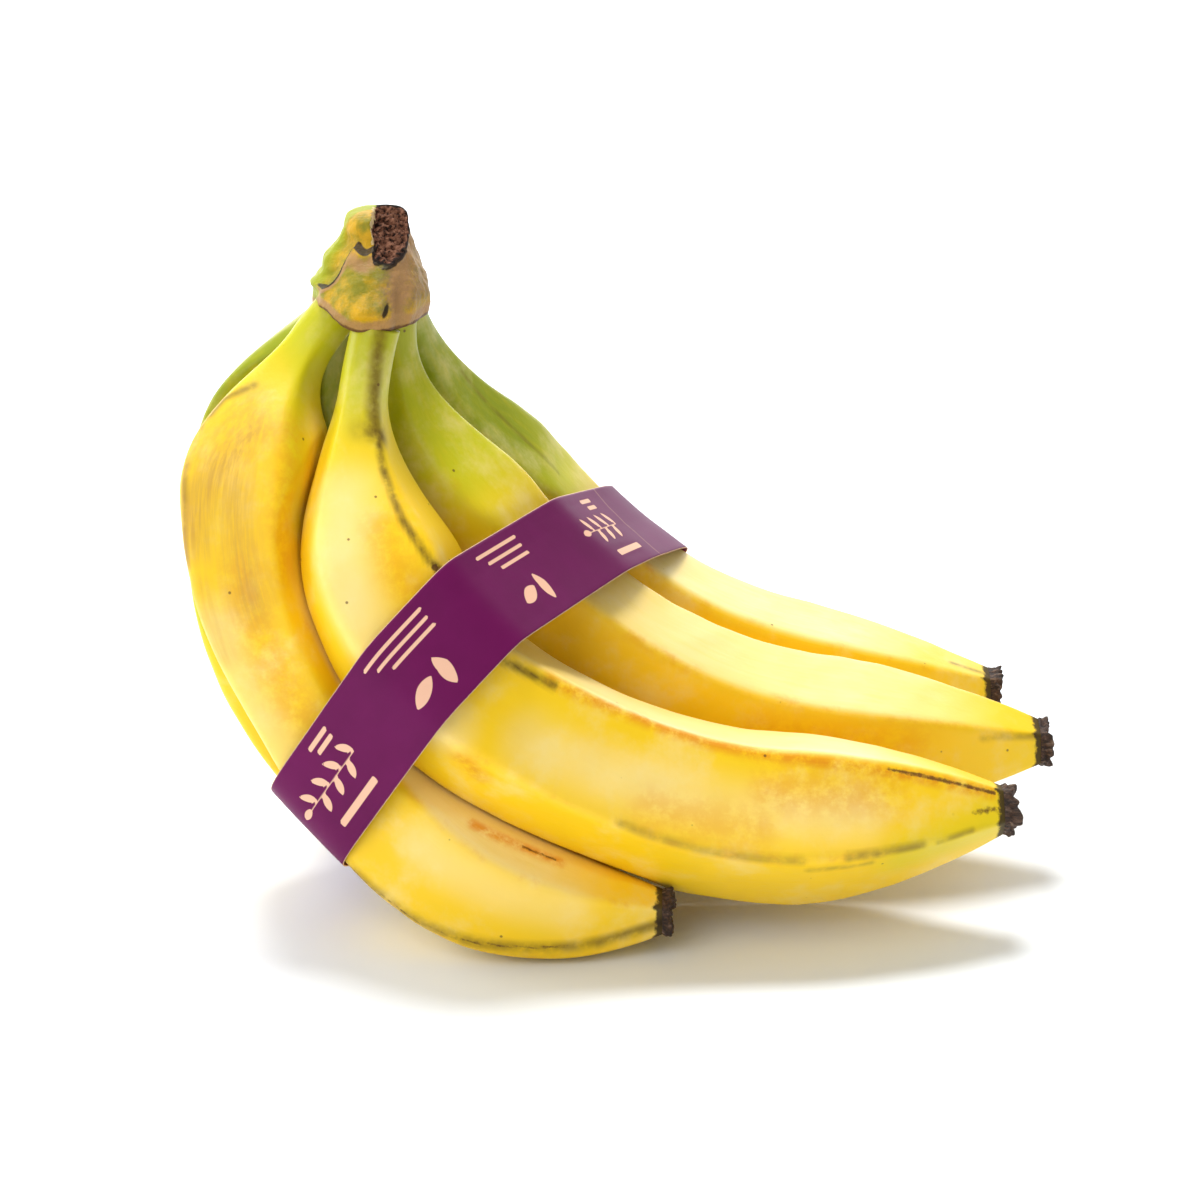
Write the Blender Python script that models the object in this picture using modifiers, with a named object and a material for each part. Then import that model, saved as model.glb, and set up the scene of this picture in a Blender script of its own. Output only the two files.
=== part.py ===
"""A bunch of six bananas on their crown, held by a paper band.

The bunch rests on its three outer fingers.  X runs from the crown towards the
tips, Y runs from the front fingers to the rear ones and Z is up, in metres.
The origin is at the middle of the footprint, on the surface below.
"""
import math
from dataclasses import dataclass

import bmesh
import bpy
import numpy as np
from mathutils import Vector

MM = 0.001

# Driving dimensions, in millimetres.
CALIBRE = 37.0  # thickness of a full finger across its body
NECK = 11.0  # thickness of a finger's neck where it leaves the crown
TIP = 10.5  # thickness of a finger just before its dry tip
SHOULDER_START = 12.0  # along a finger, where its neck starts to swell
SHOULDER_LENGTH = 58.0  # along a finger, from neck to full body
TAPER_LENGTH = 50.0  # along a finger, from full body to tip
STUB_LENGTH = 3.2  # dry flower stub at the tip
STUB_FLARE = 1.2  # how much wider the stub is than the tip
LENGTH_SCALE = 1.0  # stretches every finger and the way they spread
PRESS_GAP = 0.8  # between fingers that lie pressed together
FLOOR_PRESS = 1.0  # how far the lowest bellies are pressed flat
CROWN_WIDTH = 25.0  # across the crown, along X
CROWN_DEPTH = 43.0  # through the crown, along Y
CROWN_HEIGHT = 24.5  # from the crown's lower rim to its cut top
CROWN_SOCKET = 9.0  # how far the necks reach into the crown
SOCKET_GAP = 0.35  # around each neck in its socket
BAND_WIDTH = 24.0  # of the paper strip
BAND_THICKNESS = 0.4  # of the paper strip
BAND_GAP = 0.7  # between the strip and the fingers
BAND_AXIS = (0.74, -0.36, -0.57)  # across the strip, along the fingers
BAND_SHARE = 0.40  # along the middle finger, where the strip's middle lies

# Mesh density.
RINGS = 40
AROUND = 24
BAND_STEPS = 88


@dataclass(frozen=True)
class Finger:
    """One banana, as a middle line with a heading in degrees along it."""

    name: str
    root: tuple  # where the middle line starts, in mm from below the crown
    length: float  # along the middle line, in mm
    headings: tuple  # of the middle line in the X-Z plane, at equal shares
    side: tuple  # Y of the middle line, in mm, at its root, middle and tip
    girth: float  # share of CALIBRE
    roll: float  # degrees from the front to the first ridge, at the neck
    twist: float  # degrees that the ridges turn from neck to tip
    colour: tuple


FINGERS = (
    Finger("finger_front_inner", (-50.5, 149.5), 227.5, (-109, -81, -42, -22, -1, 2),
           (-16.0, -43.0, -39.0), 1.00, 34.0, 32.0, (0.83, 0.58, 0.03, 1.0)),
    Finger("finger_middle_inner", (-48.0, 151.0), 224.0, (-103, -66, -44, -24, -4, 2),
           (0.0, 0.0, -1.0), 0.95, 14.0, 28.0, (0.80, 0.60, 0.06, 1.0)),
    Finger("finger_rear_inner", (-49.5, 148.5), 209.0, (-80, -66, -46, -28, -8, 2),
           (13.0, 36.5, 36.5), 0.95, 30.0, 20.0, (0.62, 0.60, 0.06, 1.0)),
    Finger("finger_front_outer", (-54.5, 151.0), 200.5, (-144, -106, -68, -53, -21, 1),
           (-4.0, -27.0, -50.0), 0.98, 8.0, 20.0, (0.80, 0.52, 0.04, 1.0)),
    Finger("finger_middle_outer", (-57.0, 147.0), 203.5, (-136, -106, -77, -43, -11, 8),
           (4.0, -8.0, -10.0), 0.95, 6.0, 20.0, (0.60, 0.60, 0.05, 1.0)),
    Finger("finger_rear_outer", (-57.0, 149.0), 200.0, (-128, -95, -69, -46, -14, 4),
           (16.0, 28.0, 27.0), 0.95, 6.0, 20.0, (0.62, 0.60, 0.06, 1.0)),
)


def smooth(x):
    """Rise from 0 to 1 as x goes from 0 to 1, level at both ends."""
    x = np.clip(x, 0.0, 1.0)
    return x * x * (3.0 - 2.0 * x)


def through(values, t):
    """Read a natural cubic curve through values at equal shares, at shares t."""
    values = np.asarray(values, dtype=float)
    last = len(values) - 1
    system = np.eye(last + 1)
    right = np.zeros(last + 1)
    for i in range(1, last):
        system[i, i - 1:i + 2] = (1.0, 4.0, 1.0)
        right[i] = 6.0 * (values[i - 1] - 2.0 * values[i] + values[i + 1])
    bend = np.linalg.solve(system, right)
    x = np.clip(t, 0.0, 1.0) * last
    i = np.minimum(x.astype(int), last - 1)
    b = x - i
    a = 1.0 - b
    line = a * values[i] + b * values[i + 1]
    return line + ((a**3 - a) * bend[i] + (b**3 - b) * bend[i + 1]) / 6.0


def unit(vectors):
    """Scale vectors to length one."""
    return vectors / np.linalg.norm(vectors, axis=-1, keepdims=True)


def middle_line(finger, shares):
    """Points of a finger's middle line, in metres, at shares of its length."""
    fine = np.linspace(0.0, 1.0, 801)
    heading = np.radians(through(finger.headings, fine))
    step = finger.length * LENGTH_SCALE * MM * (fine[1] - fine[0])
    run = np.concatenate(([0.0], np.cumsum(np.cos(0.5 * (heading[1:] + heading[:-1])))))
    rise = np.concatenate(([0.0], np.cumsum(np.sin(0.5 * (heading[1:] + heading[:-1])))))
    root, middle, tip = (value * MM * CALIBRE / 37.0 for value in finger.side)
    across = root + (middle - root) * smooth(fine / 0.42)
    across += (tip - middle) * smooth((fine - 0.3) / 0.7)
    points = np.stack([
        finger.root[0] * MM + run * step,
        across,
        finger.root[1] * MM * LENGTH_SCALE + rise * step,
    ], axis=1)
    inside = np.clip(shares, 0.0, 1.0)
    placed = np.stack([np.interp(inside, fine, points[:, k]) for k in range(3)], axis=1)
    first = (points[1] - points[0]) / fine[1]
    last = (points[-1] - points[-2]) / fine[1]
    before = np.minimum(shares, 0.0)[:, None] * first
    return placed + before + np.maximum(shares - 1.0, 0.0)[:, None] * last


def radius_along(finger, distance, length):
    """Radius of a finger at a distance from its root, all in metres."""
    neck = 0.5 * NECK * MM
    body = 0.5 * CALIBRE * finger.girth * MM
    tip = 0.5 * TIP * MM
    swell = smooth((distance / MM - SHOULDER_START + 4.0) / SHOULDER_LENGTH)
    radius = neck + (body - neck) * swell
    end = (distance - length + (TAPER_LENGTH + STUB_LENGTH) * MM) / (TAPER_LENGTH * MM)
    end = np.clip(end, 0.0, 1.0)
    return np.minimum(radius, tip + (body - tip) * (1.0 - end**1.7))


def ring_shape(angle, corner):
    """Distance from the middle of a soft pentagon at an angle, about 1."""
    total = np.zeros(np.broadcast(angle, corner).shape)
    for k in range(5):
        facing = np.cos(angle - corner - math.radians(36.0 + 72.0 * k))
        total += np.clip(facing / 0.955, 0.0, None)**9
    return total**(-1.0 / 9.0)


def finger_frame(finger, shares):
    """Middle line, and the directions to its front and its inner side."""
    points = middle_line(finger, shares)
    along = unit(middle_line(finger, shares + 0.002) - middle_line(finger, shares - 0.002))
    front = np.array([0.0, -1.0, 0.0]) - along * (-along[:, 1:2])
    front = unit(front)
    return points, front, np.cross(front, along)


def finger_stations(finger):
    """Shares of the length where rings lie, closer at the neck and the tip."""
    even = np.linspace(0.0, 1.0, RINGS - 2)
    shares = even - 0.09 * np.sin(2.0 * math.pi * even) / (2.0 * math.pi) * 4.0
    length = finger.length * LENGTH_SCALE
    return shares * (1.0 - STUB_LENGTH / length)


def finger_rings(finger, stations, grow=0.0):
    """Rings of points around a finger, as an array of ring, point and axis."""
    length = finger.length * LENGTH_SCALE * MM
    points, front, inner = finger_frame(finger, stations)
    radius = radius_along(finger, stations * length, length) + grow
    angle = np.linspace(0.0, 2.0 * math.pi, AROUND, endpoint=False)[None, :]
    corner = np.radians(finger.roll + finger.twist * stations)[:, None]
    depth = smooth((stations - 0.02) / 0.12)[:, None]
    shape = 1.0 + (ring_shape(angle, corner) - 1.0) * depth
    reach = (radius[:, None] * shape)[..., None]
    outward = np.cos(angle)[..., None] * front[:, None, :]
    outward = outward + np.sin(angle)[..., None] * inner[:, None, :]
    return points, points[:, None, :] + outward * reach, radius


def press_apart(sets):
    """Flatten fingers where they meet.

    The space between two fingers belongs to the one whose middle line is nearer,
    counted in each finger's own radii.  Each point is drawn back towards its own
    middle line until it lies in its finger's space, less its share of the gap.
    """
    for i, (middle, rings, radius) in enumerate(sets):
        start = middle[:, None, :]
        reach = np.linalg.norm(rings - start, axis=2)
        outward = (rings - start) / reach[..., None]
        limit = reach.copy()
        for j, (other_middle, _, other_radius) in enumerate(sets):
            if i == j:
                continue
            dense = np.linspace(0.0, len(other_middle) - 1.0, 400)
            whole = np.arange(len(other_middle))
            line = np.stack([np.interp(dense, whole, other_middle[:, k]) for k in range(3)], 1)
            size = np.interp(dense, whole, other_radius)
            for _ in range(4):
                place = start + outward * limit[..., None]
                apart = place[:, :, None, :] - line[None, None]
                near = (np.linalg.norm(apart, axis=3) / size).argmin(axis=2)
                to_other = line[near] - start
                distance = np.linalg.norm(to_other, axis=2)
                towards = (outward * to_other).sum(axis=2) / distance
                square = towards**2 + (size[near] / radius[:, None])**2 - 1.0
                bound = towards + np.sqrt(np.clip(square, 0.0, None))
                meets = (square > 0.0) & (bound > 0.05)
                border = distance / np.where(meets, bound, 1.0)
                border = border * (1.0 - PRESS_GAP * MM / distance)
                limit = np.where(meets, np.minimum(limit, border), limit)
        rings[:] = start + outward * limit[..., None]


def with_stub(middle, rings, radius):
    """Add the two rings of the dry stub past the last ring of a finger."""
    end = middle[-1]
    ahead = unit(end - middle[-2])
    flare = (0.5 * TIP + 0.5 * STUB_FLARE) * MM / radius[-1]
    lip = end + ahead * 0.5 * MM
    face = end + ahead * STUB_LENGTH * MM
    spokes = rings[-1] - end
    rings = np.concatenate([rings, [lip + spokes * flare, face + spokes * 0.9 * flare]])
    middle = np.concatenate([middle, [lip, face]])
    radius = np.append(radius, radius[-1] * flare * np.array([1.0, 0.9]))
    return middle, rings, radius


def lofted_mesh(name, rings):
    """Make a closed mesh of rings with a fan of faces over each end."""
    count, around, _ = rings.shape
    mesh = bpy.data.meshes.new(name)
    bm = bmesh.new()
    loops = [[bm.verts.new(point) for point in ring] for ring in rings.tolist()]
    for a, b in zip(loops[:-1], loops[1:]):
        for k in range(around):
            n = (k + 1) % around
            bm.faces.new((a[k], a[n], b[n], b[k]))
    for loop in (loops[0], loops[-1]):
        centre = bm.verts.new(sum((v.co for v in loop), Vector()) / around)
        for k in range(around):
            bm.faces.new((loop[k], loop[(k + 1) % around], centre))
    bmesh.ops.recalc_face_normals(bm, faces=bm.faces)
    bm.to_mesh(mesh)
    bm.free()
    return mesh


def material(name, colour, roughness):
    """A plain surface finish."""
    result = bpy.data.materials.new(name)
    result.use_nodes = True
    shader = result.node_tree.nodes["Principled BSDF"]
    shader.inputs["Base Color"].default_value = colour
    shader.inputs["Roughness"].default_value = roughness
    shader.inputs["Metallic"].default_value = 0.0
    return result


def add_object(name, mesh, collection, finish=None):
    """Put a mesh into the scene as one object, smooth where it is round."""
    if finish is not None:
        mesh.materials.append(finish)
    mesh.shade_smooth()
    mesh.set_sharp_from_angle(angle=math.radians(45.0))
    result = bpy.data.objects.new(name, mesh)
    collection.objects.link(result)
    return result


def band_loop(points, centre):
    """The taut loop of the strip around points, as its inner outline.

    Each direction in the strip's plane has a line that touches the outermost
    point; neighbouring lines cross at the corners of the loop, which is then
    walked in equal steps.
    """
    axis = Vector(BAND_AXIS).normalized()
    first = np.array(axis.cross(Vector((0.0, 1.0, 0.0))).normalized())
    axis = np.array(axis)
    second = np.cross(axis, first)
    offset = (points - centre) @ axis
    held = points[np.abs(offset) < (0.5 * BAND_WIDTH + 1.0) * MM] - centre
    turn = np.linspace(0.0, 2.0 * math.pi, 361)[:-1]
    ways = np.cos(turn)[:, None] * first + np.sin(turn)[:, None] * second
    reach = (held @ ways.T).max(axis=0) + BAND_GAP * MM
    ahead = np.roll(reach, -1)
    step = turn[1]
    u = (reach * np.sin(turn + step) - ahead * np.sin(turn)) / math.sin(step)
    v = (ahead * np.cos(turn) - reach * np.cos(turn + step)) / math.sin(step)
    u = np.append(u, u[0])
    v = np.append(v, v[0])
    walked = np.concatenate(([0.0], np.cumsum(np.hypot(np.diff(u), np.diff(v)))))
    even = np.linspace(0.0, walked[-1], BAND_STEPS + 1)[:-1]
    u = np.interp(even, walked, u)
    v = np.interp(even, walked, v)
    return centre + u[:, None] * first + v[:, None] * second


def band_mesh(loop):
    """Make the strip as an open sheet, to be given its thickness."""
    axis = np.array(Vector(BAND_AXIS).normalized())
    mesh = bpy.data.meshes.new("paper_band")
    bm = bmesh.new()
    rows = []
    for share in (-0.5, 0.0, 0.5):
        row = loop + axis * share * BAND_WIDTH * MM
        rows.append([bm.verts.new(point) for point in row.tolist()])
    count = len(loop)
    for a, b in zip(rows[:-1], rows[1:]):
        for k in range(count):
            n = (k + 1) % count
            bm.faces.new((a[k], a[n], b[n], b[k]))
    bmesh.ops.recalc_face_normals(bm, faces=bm.faces)
    bm.to_mesh(mesh)
    bm.free()
    return mesh


def crown_mesh(centre):
    """Make the crown: a lobed knob around the necks, narrower at its cut top."""
    bm = bmesh.new()
    bmesh.ops.create_uvsphere(bm, u_segments=36, v_segments=20, radius=1.0)
    for vertex in bm.verts:
        x, y, z = vertex.co
        around = math.atan2(y, x)
        lobes = 1.0 + 0.05 * math.cos(6.0 * around + 0.6) * (1.0 - abs(z))
        rise = min(max((z + 0.25) / 1.25, 0.0), 1.0)
        narrow = 1.0 - 0.34 * rise * rise * (3.0 - 2.0 * rise)
        full = (1.0 - abs(z)**3)**0.5 / max((1.0 - z * z)**0.5, 1e-6)
        vertex.co.x = x * full * lobes * narrow * 0.5 * CROWN_WIDTH * MM
        vertex.co.y = y * full * lobes * narrow**1.6 * 0.5 * CROWN_DEPTH * MM
        vertex.co.z = z * (0.5 * CROWN_HEIGHT + 1.0) * MM
    half = 0.5 * CROWN_HEIGHT * MM
    slices = (
        (Vector((2.0 * MM, -4.0 * MM, half - 2.0 * MM)), Vector((0.55, -0.45, 0.70))),
        (Vector((0.0, 0.0, half)), Vector((0.0, 0.0, 1.0))),
        (Vector((0.0, 0.0, -half)), Vector((0.0, 0.0, -1.0))),
    )
    for point, normal in slices:
        cut = bmesh.ops.bisect_plane(
            bm, geom=bm.verts[:] + bm.edges[:] + bm.faces[:],
            plane_co=point, plane_no=normal.normalized(), clear_outer=True)
        rim = [item for item in cut["geom_cut"] if isinstance(item, bmesh.types.BMEdge)]
        bmesh.ops.edgeloop_fill(bm, edges=rim)
    bmesh.ops.translate(bm, verts=bm.verts, vec=centre)
    bmesh.ops.recalc_face_normals(bm, faces=bm.faces)
    mesh = bpy.data.meshes.new("crown")
    bm.to_mesh(mesh)
    bm.free()
    return mesh


def build():
    """Build the bunch."""
    for item in list(bpy.data.objects):
        bpy.data.objects.remove(item)
    bunch = bpy.data.collections.new("banana_bunch")
    cutters = bpy.data.collections.new("cutters")
    bpy.context.scene.collection.children.link(bunch)
    bpy.context.scene.collection.children.link(cutters)

    sets = [with_stub(*finger_rings(finger, finger_stations(finger))) for finger in FINGERS]
    press_apart(sets)
    shapes = [rings for _, rings, _ in sets]

    every = np.concatenate([shape.reshape(-1, 3) for shape in shapes])
    between = [shape[:-1] * (1.0 - t) + shape[1:] * t for shape in shapes for t in (0.25, 0.5, 0.75)]
    skins = np.concatenate([every] + [rings.reshape(-1, 3) for rings in between])
    loop = band_loop(skins, middle_line(FINGERS[1], np.array([BAND_SHARE]))[0])
    floor = every[:, 2].min() + FLOOR_PRESS * MM
    axis = np.array(Vector(BAND_AXIS).normalized())
    sheet = np.concatenate([loop + axis * share * BAND_WIDTH * MM for share in (-0.5, 0.5)])
    low = np.minimum(every.min(axis=0), sheet.min(axis=0))
    high = np.maximum(every.max(axis=0), sheet.max(axis=0))
    shift = np.array([-0.5 * (low[0] + high[0]), -0.5 * (low[1] + high[1]), -floor])

    roots = np.array([middle_line(finger, np.zeros(1))[0] for finger in FINGERS])
    crown_at = Vector(roots.mean(axis=0) + shift)
    crown_at.z += (0.5 * CROWN_HEIGHT - CROWN_SOCKET) * MM
    wood = material("crown_skin", (0.30, 0.24, 0.05, 1.0), 0.6)
    crown = add_object("crown", crown_mesh(crown_at), bunch, wood)

    for finger, shape in zip(FINGERS, shapes):
        placed = shape + shift
        placed[..., 2] = np.maximum(placed[..., 2], 0.0)
        skin = material(finger.name + "_skin", finger.colour, 0.42)
        add_object(finger.name, lofted_mesh(finger.name, placed), bunch, skin)

        share = 2.2 * CROWN_SOCKET / (finger.length * LENGTH_SCALE)
        _, wide, _ = finger_rings(finger, np.linspace(-0.002, share, 8), SOCKET_GAP * MM)
        socket = add_object(
            finger.name + "_socket", lofted_mesh(finger.name + "_socket", wide + shift), cutters)
        socket.hide_render = True
        socket.display_type = "WIRE"
        cut = crown.modifiers.new(finger.name, "BOOLEAN")
        cut.operation = "DIFFERENCE"
        cut.solver = "EXACT"
        cut.object = socket

    print_purple = material("band_paper", (0.16, 0.02, 0.09, 1.0), 0.35)
    band = add_object("paper_band", band_mesh(loop + shift), bunch, print_purple)
    wall = band.modifiers.new("thickness", "SOLIDIFY")
    wall.thickness = BAND_THICKNESS * MM
    wall.offset = 1.0
    wall.use_even_offset = True


build()
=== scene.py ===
"""The looks of a bunch of six bananas held by a paper band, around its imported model.

Every surface is worked out in the model's own frame, in metres: +X runs from
the crown towards the tips, +Y from the front fingers to the rear ones, and the
bunch lies on z = 0.  Each finger is a soft pentagon carried along a bent middle
line, and the fingers are pressed flat where they meet.
"""

import logging
import math
from dataclasses import dataclass, field
from enum import Enum

import bpy
import numpy as np
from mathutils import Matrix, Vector


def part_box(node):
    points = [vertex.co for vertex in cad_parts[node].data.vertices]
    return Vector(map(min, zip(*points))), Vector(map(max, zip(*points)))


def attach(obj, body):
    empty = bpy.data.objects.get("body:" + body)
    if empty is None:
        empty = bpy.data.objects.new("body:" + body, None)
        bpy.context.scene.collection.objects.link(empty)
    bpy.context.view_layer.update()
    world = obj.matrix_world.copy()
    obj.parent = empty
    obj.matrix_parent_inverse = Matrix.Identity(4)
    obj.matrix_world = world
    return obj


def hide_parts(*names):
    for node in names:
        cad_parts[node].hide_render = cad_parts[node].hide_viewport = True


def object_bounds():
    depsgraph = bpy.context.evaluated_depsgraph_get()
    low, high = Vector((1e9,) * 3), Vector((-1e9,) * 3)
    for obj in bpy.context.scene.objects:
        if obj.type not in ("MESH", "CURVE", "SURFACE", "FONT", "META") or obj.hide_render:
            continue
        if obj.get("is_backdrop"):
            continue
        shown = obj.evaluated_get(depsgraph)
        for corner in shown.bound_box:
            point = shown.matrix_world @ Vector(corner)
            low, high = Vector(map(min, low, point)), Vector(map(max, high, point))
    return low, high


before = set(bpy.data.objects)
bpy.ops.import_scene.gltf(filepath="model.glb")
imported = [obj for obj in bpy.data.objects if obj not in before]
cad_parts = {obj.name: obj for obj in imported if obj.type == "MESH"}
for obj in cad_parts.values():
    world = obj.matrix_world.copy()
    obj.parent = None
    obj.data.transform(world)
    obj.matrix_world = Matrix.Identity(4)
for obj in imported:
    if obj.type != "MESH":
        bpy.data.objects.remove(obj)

MM = 0.001
TURN = 2.0 * math.pi
LOG = logging.getLogger("banana_bunch")
Array = np.ndarray
Colour = tuple[float, float, float, float]


# Small mathematics that the surfaces share.


def smooth(x: Array) -> Array:
    """Rise from 0 to 1 as x goes from 0 to 1, level at both ends."""
    x = np.clip(x, 0.0, 1.0)
    return x * x * (3.0 - 2.0 * x)


def unit(vectors: Array) -> Array:
    """Scale vectors along the last axis to length one."""
    return vectors / np.linalg.norm(vectors, axis=-1, keepdims=True)


def bell(*shares: Array) -> Array:
    """Rise to 1 where every share is 0, and fall away as a normal curve does."""
    return np.exp(-sum(share**2 for share in shares))


def wrapped(angle: Array) -> Array:
    """Bring angles to the half turn on either side of zero."""
    return (angle + math.pi) % TURN - math.pi


def read_points(places: Array, known: Array, points: Array) -> Array:
    """Read a line between its known points.

    Args:
        places: Where to read it.
        known: Where each of its points stands, rising.
        points: The points, one to a row.

    Returns:
        A point for each place, with its coordinates on the last axis.
    """
    return np.stack([np.interp(places, known, column) for column in points.T], axis=-1)


def through(values: tuple, t: Array) -> Array:
    """Read a natural cubic curve through values that stand at equal shares.

    The second derivatives solve the usual tridiagonal system, with none at the ends.

    Args:
        values: Heights of the curve at equal shares from 0 to 1.
        t: Shares at which to read it.

    Returns:
        The curve's heights at t.
    """
    values = np.asarray(values, dtype=float)
    last = len(values) - 1
    inner = np.arange(1, last)
    system = np.eye(last + 1)
    system[inner, inner - 1] = 1.0
    system[inner, inner] = 4.0
    system[inner, inner + 1] = 1.0
    right = np.zeros(last + 1)
    right[inner] = 6.0 * (values[inner - 1] - 2.0 * values[inner] + values[inner + 1])
    bend = np.linalg.solve(system, right)
    x = np.clip(t, 0.0, 1.0) * last
    i = np.minimum(x.astype(int), last - 1)
    b = x - i
    a = 1.0 - b
    line = a * values[i] + b * values[i + 1]
    return line + ((a**3 - a) * bend[i] + (b**3 - b) * bend[i + 1]) / 6.0


def ripple(points: Array, wave: float, seed: int) -> Array:
    """Smooth unevenness, as the mean of eight crossed sine waves, brought to about -1 to 1.

    Args:
        points: Places, with x, y and z on the last axis, in metres.
        wave: Mean wavelength in metres.
        seed: Chooses the waves' directions and phases.

    Returns:
        One value for each place.
    """
    waves, spread = 8, 1.7
    chance = np.random.default_rng(seed)
    ways = unit(chance.normal(size=(waves, 3)))
    ways = ways * chance.uniform(0.7, 1.5, size=(waves, 1)) * TURN / wave
    phases = chance.uniform(0.0, TURN, size=waves)
    return np.sin(points @ ways.T + phases).mean(axis=-1) * spread


def soften(values: Array, passes: int) -> Array:
    """Blur a grid a little: each pass is a quarter, half, quarter mean both ways.

    Args:
        values: The grid; its second axis runs round, and its first one has free ends.
        passes: How many times it is done.

    Returns:
        The blurred grid.
    """
    for _ in range(passes):
        values = 0.5 * values + 0.25 * (np.roll(values, 1, axis=1) + np.roll(values, -1, axis=1))
        inside = 0.5 * values[1:-1] + 0.25 * (values[:-2] + values[2:])
        values = np.concatenate([values[:1], inside, values[-1:]])
    return values


# Putting surfaces and materials into Blender.


def with_caps(values: Array, columns: int, capped: bool) -> Array:
    """Add the middle of each end of a grid to its values.

    Args:
        values: One row of values for each grid point.
        columns: How many points the grid has in a row.
        capped: Whether there are caps at all.

    Returns:
        The rows, followed by the means of the first and the last row of points.
    """
    if not capped:
        return values
    return np.concatenate([values, [values[:columns].mean(axis=0), values[-columns:].mean(axis=0)]])


def grid_object(
    name: str,
    rings: Array,
    closed: bool,
    capped: bool,
    uv: Array | None = None,
    fields: dict[str, Array] | None = None,
) -> bpy.types.Object:
    """Make an object of a grid of points, with a fan of faces over each capped end.

    Args:
        name: The object's name.
        rings: Points as an array of row, column and axis, in metres.
        closed: Whether the last column joins the first one.
        capped: Whether the first and the last row are closed by a fan.
        uv: A coordinate pair for each grid point, or None.
        fields: Named values for each grid point, single or of three numbers.

    Returns:
        The object, linked into the scene, smooth, with its place in its mesh.
    """
    rows, columns, _ = rings.shape
    index = np.arange(rows * columns).reshape(rows, columns)
    right = np.roll(index, -1, axis=1)
    if not closed:
        index, right = index[:, :-1], right[:, :-1]
    quads = np.stack([index[:-1], right[:-1], right[1:], index[1:]], axis=-1).reshape(-1, 4)
    triangles = np.zeros((0, 3), dtype=int)
    if capped:
        first, last = rows * columns, rows * columns + 1
        low = np.stack([right[0], index[0], np.full(index.shape[1], first)], axis=-1)
        high = np.stack([index[-1], right[-1], np.full(index.shape[1], last)], axis=-1)
        triangles = np.concatenate([low, high])
    mesh = bpy.data.meshes.new(name)
    points = with_caps(rings.reshape(-1, 3), columns, capped)
    mesh.from_pydata(points.tolist(), [], quads.tolist() + triangles.tolist())
    for field_name, values in (fields or {}).items():
        flat = with_caps(values.reshape(rows * columns, -1), columns, capped)
        kind, slot = ("FLOAT", "value") if flat.shape[1] == 1 else ("FLOAT_VECTOR", "vector")
        layer = mesh.attributes.new(field_name, kind, "POINT")
        layer.data.foreach_set(slot, flat.astype(np.float32).ravel())
    if uv is not None:
        pairs = with_caps(uv.reshape(-1, 2), columns, capped)
        corners = np.zeros(len(mesh.loops), dtype=np.int32)
        mesh.loops.foreach_get("vertex_index", corners)
        layer = mesh.uv_layers.new(name="surface")
        layer.data.foreach_set("uv", pairs[corners].astype(np.float32).ravel())
    mesh.shade_smooth()
    mesh.update()
    result = bpy.data.objects.new(name, mesh)
    bpy.context.scene.collection.objects.link(result)
    return result


def linear(code: str) -> Colour:
    """Turn an sRGB hex code into a linear colour with full alpha.

    Args:
        code: The code, such as #F4C20D.

    Returns:
        Red, green, blue and alpha.
    """
    shares = np.array([int(code[i:i + 2], 16) for i in (1, 3, 5)]) / 255.0
    low = shares / 12.92
    high = ((shares + 0.055) / 1.055) ** 2.4
    return (*np.where(shares <= 0.04045, low, high).tolist(), 1.0)


def add(
    tree: bpy.types.NodeTree,
    kind: str,
    inputs: dict | None = None,
    output: int | str = 0,
    stops: tuple = (),
    **settings: object,
) -> bpy.types.NodeSocket | None:
    """Add one node with its settings, values and links.

    Args:
        tree: The node tree.
        kind: The node's type, such as ShaderNodeTexNoise.
        inputs: Socket name or number to what it takes: a value, a hex colour
            code, a socket to link from, or the name of one of the mesh's fields.
        output: The output socket that is wanted.
        stops: Positions and hex colours of a colour ramp.
        settings: The node's own properties.

    Returns:
        The output socket, which also knows its node, or None if it has no outputs.
    """
    node = tree.nodes.new(kind)
    for name, value in settings.items():
        setattr(node, name, value)
    for name, value in (inputs or {}).items():
        if isinstance(value, str) and value.startswith("#"):
            value = linear(value)
        elif isinstance(value, str):
            value = add(tree, "ShaderNodeAttribute", output="Fac", attribute_name=value)
        if isinstance(value, bpy.types.NodeSocket):
            tree.links.new(value, node.inputs[name])
        else:
            node.inputs[name].default_value = value
    for number, (position, code) in enumerate(stops):
        if number >= len(node.color_ramp.elements):
            node.color_ramp.elements.new(position)
        node.color_ramp.elements[number].position = position
        node.color_ramp.elements[number].color = linear(code)
    return node.outputs[output] if len(node.outputs) else None


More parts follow.
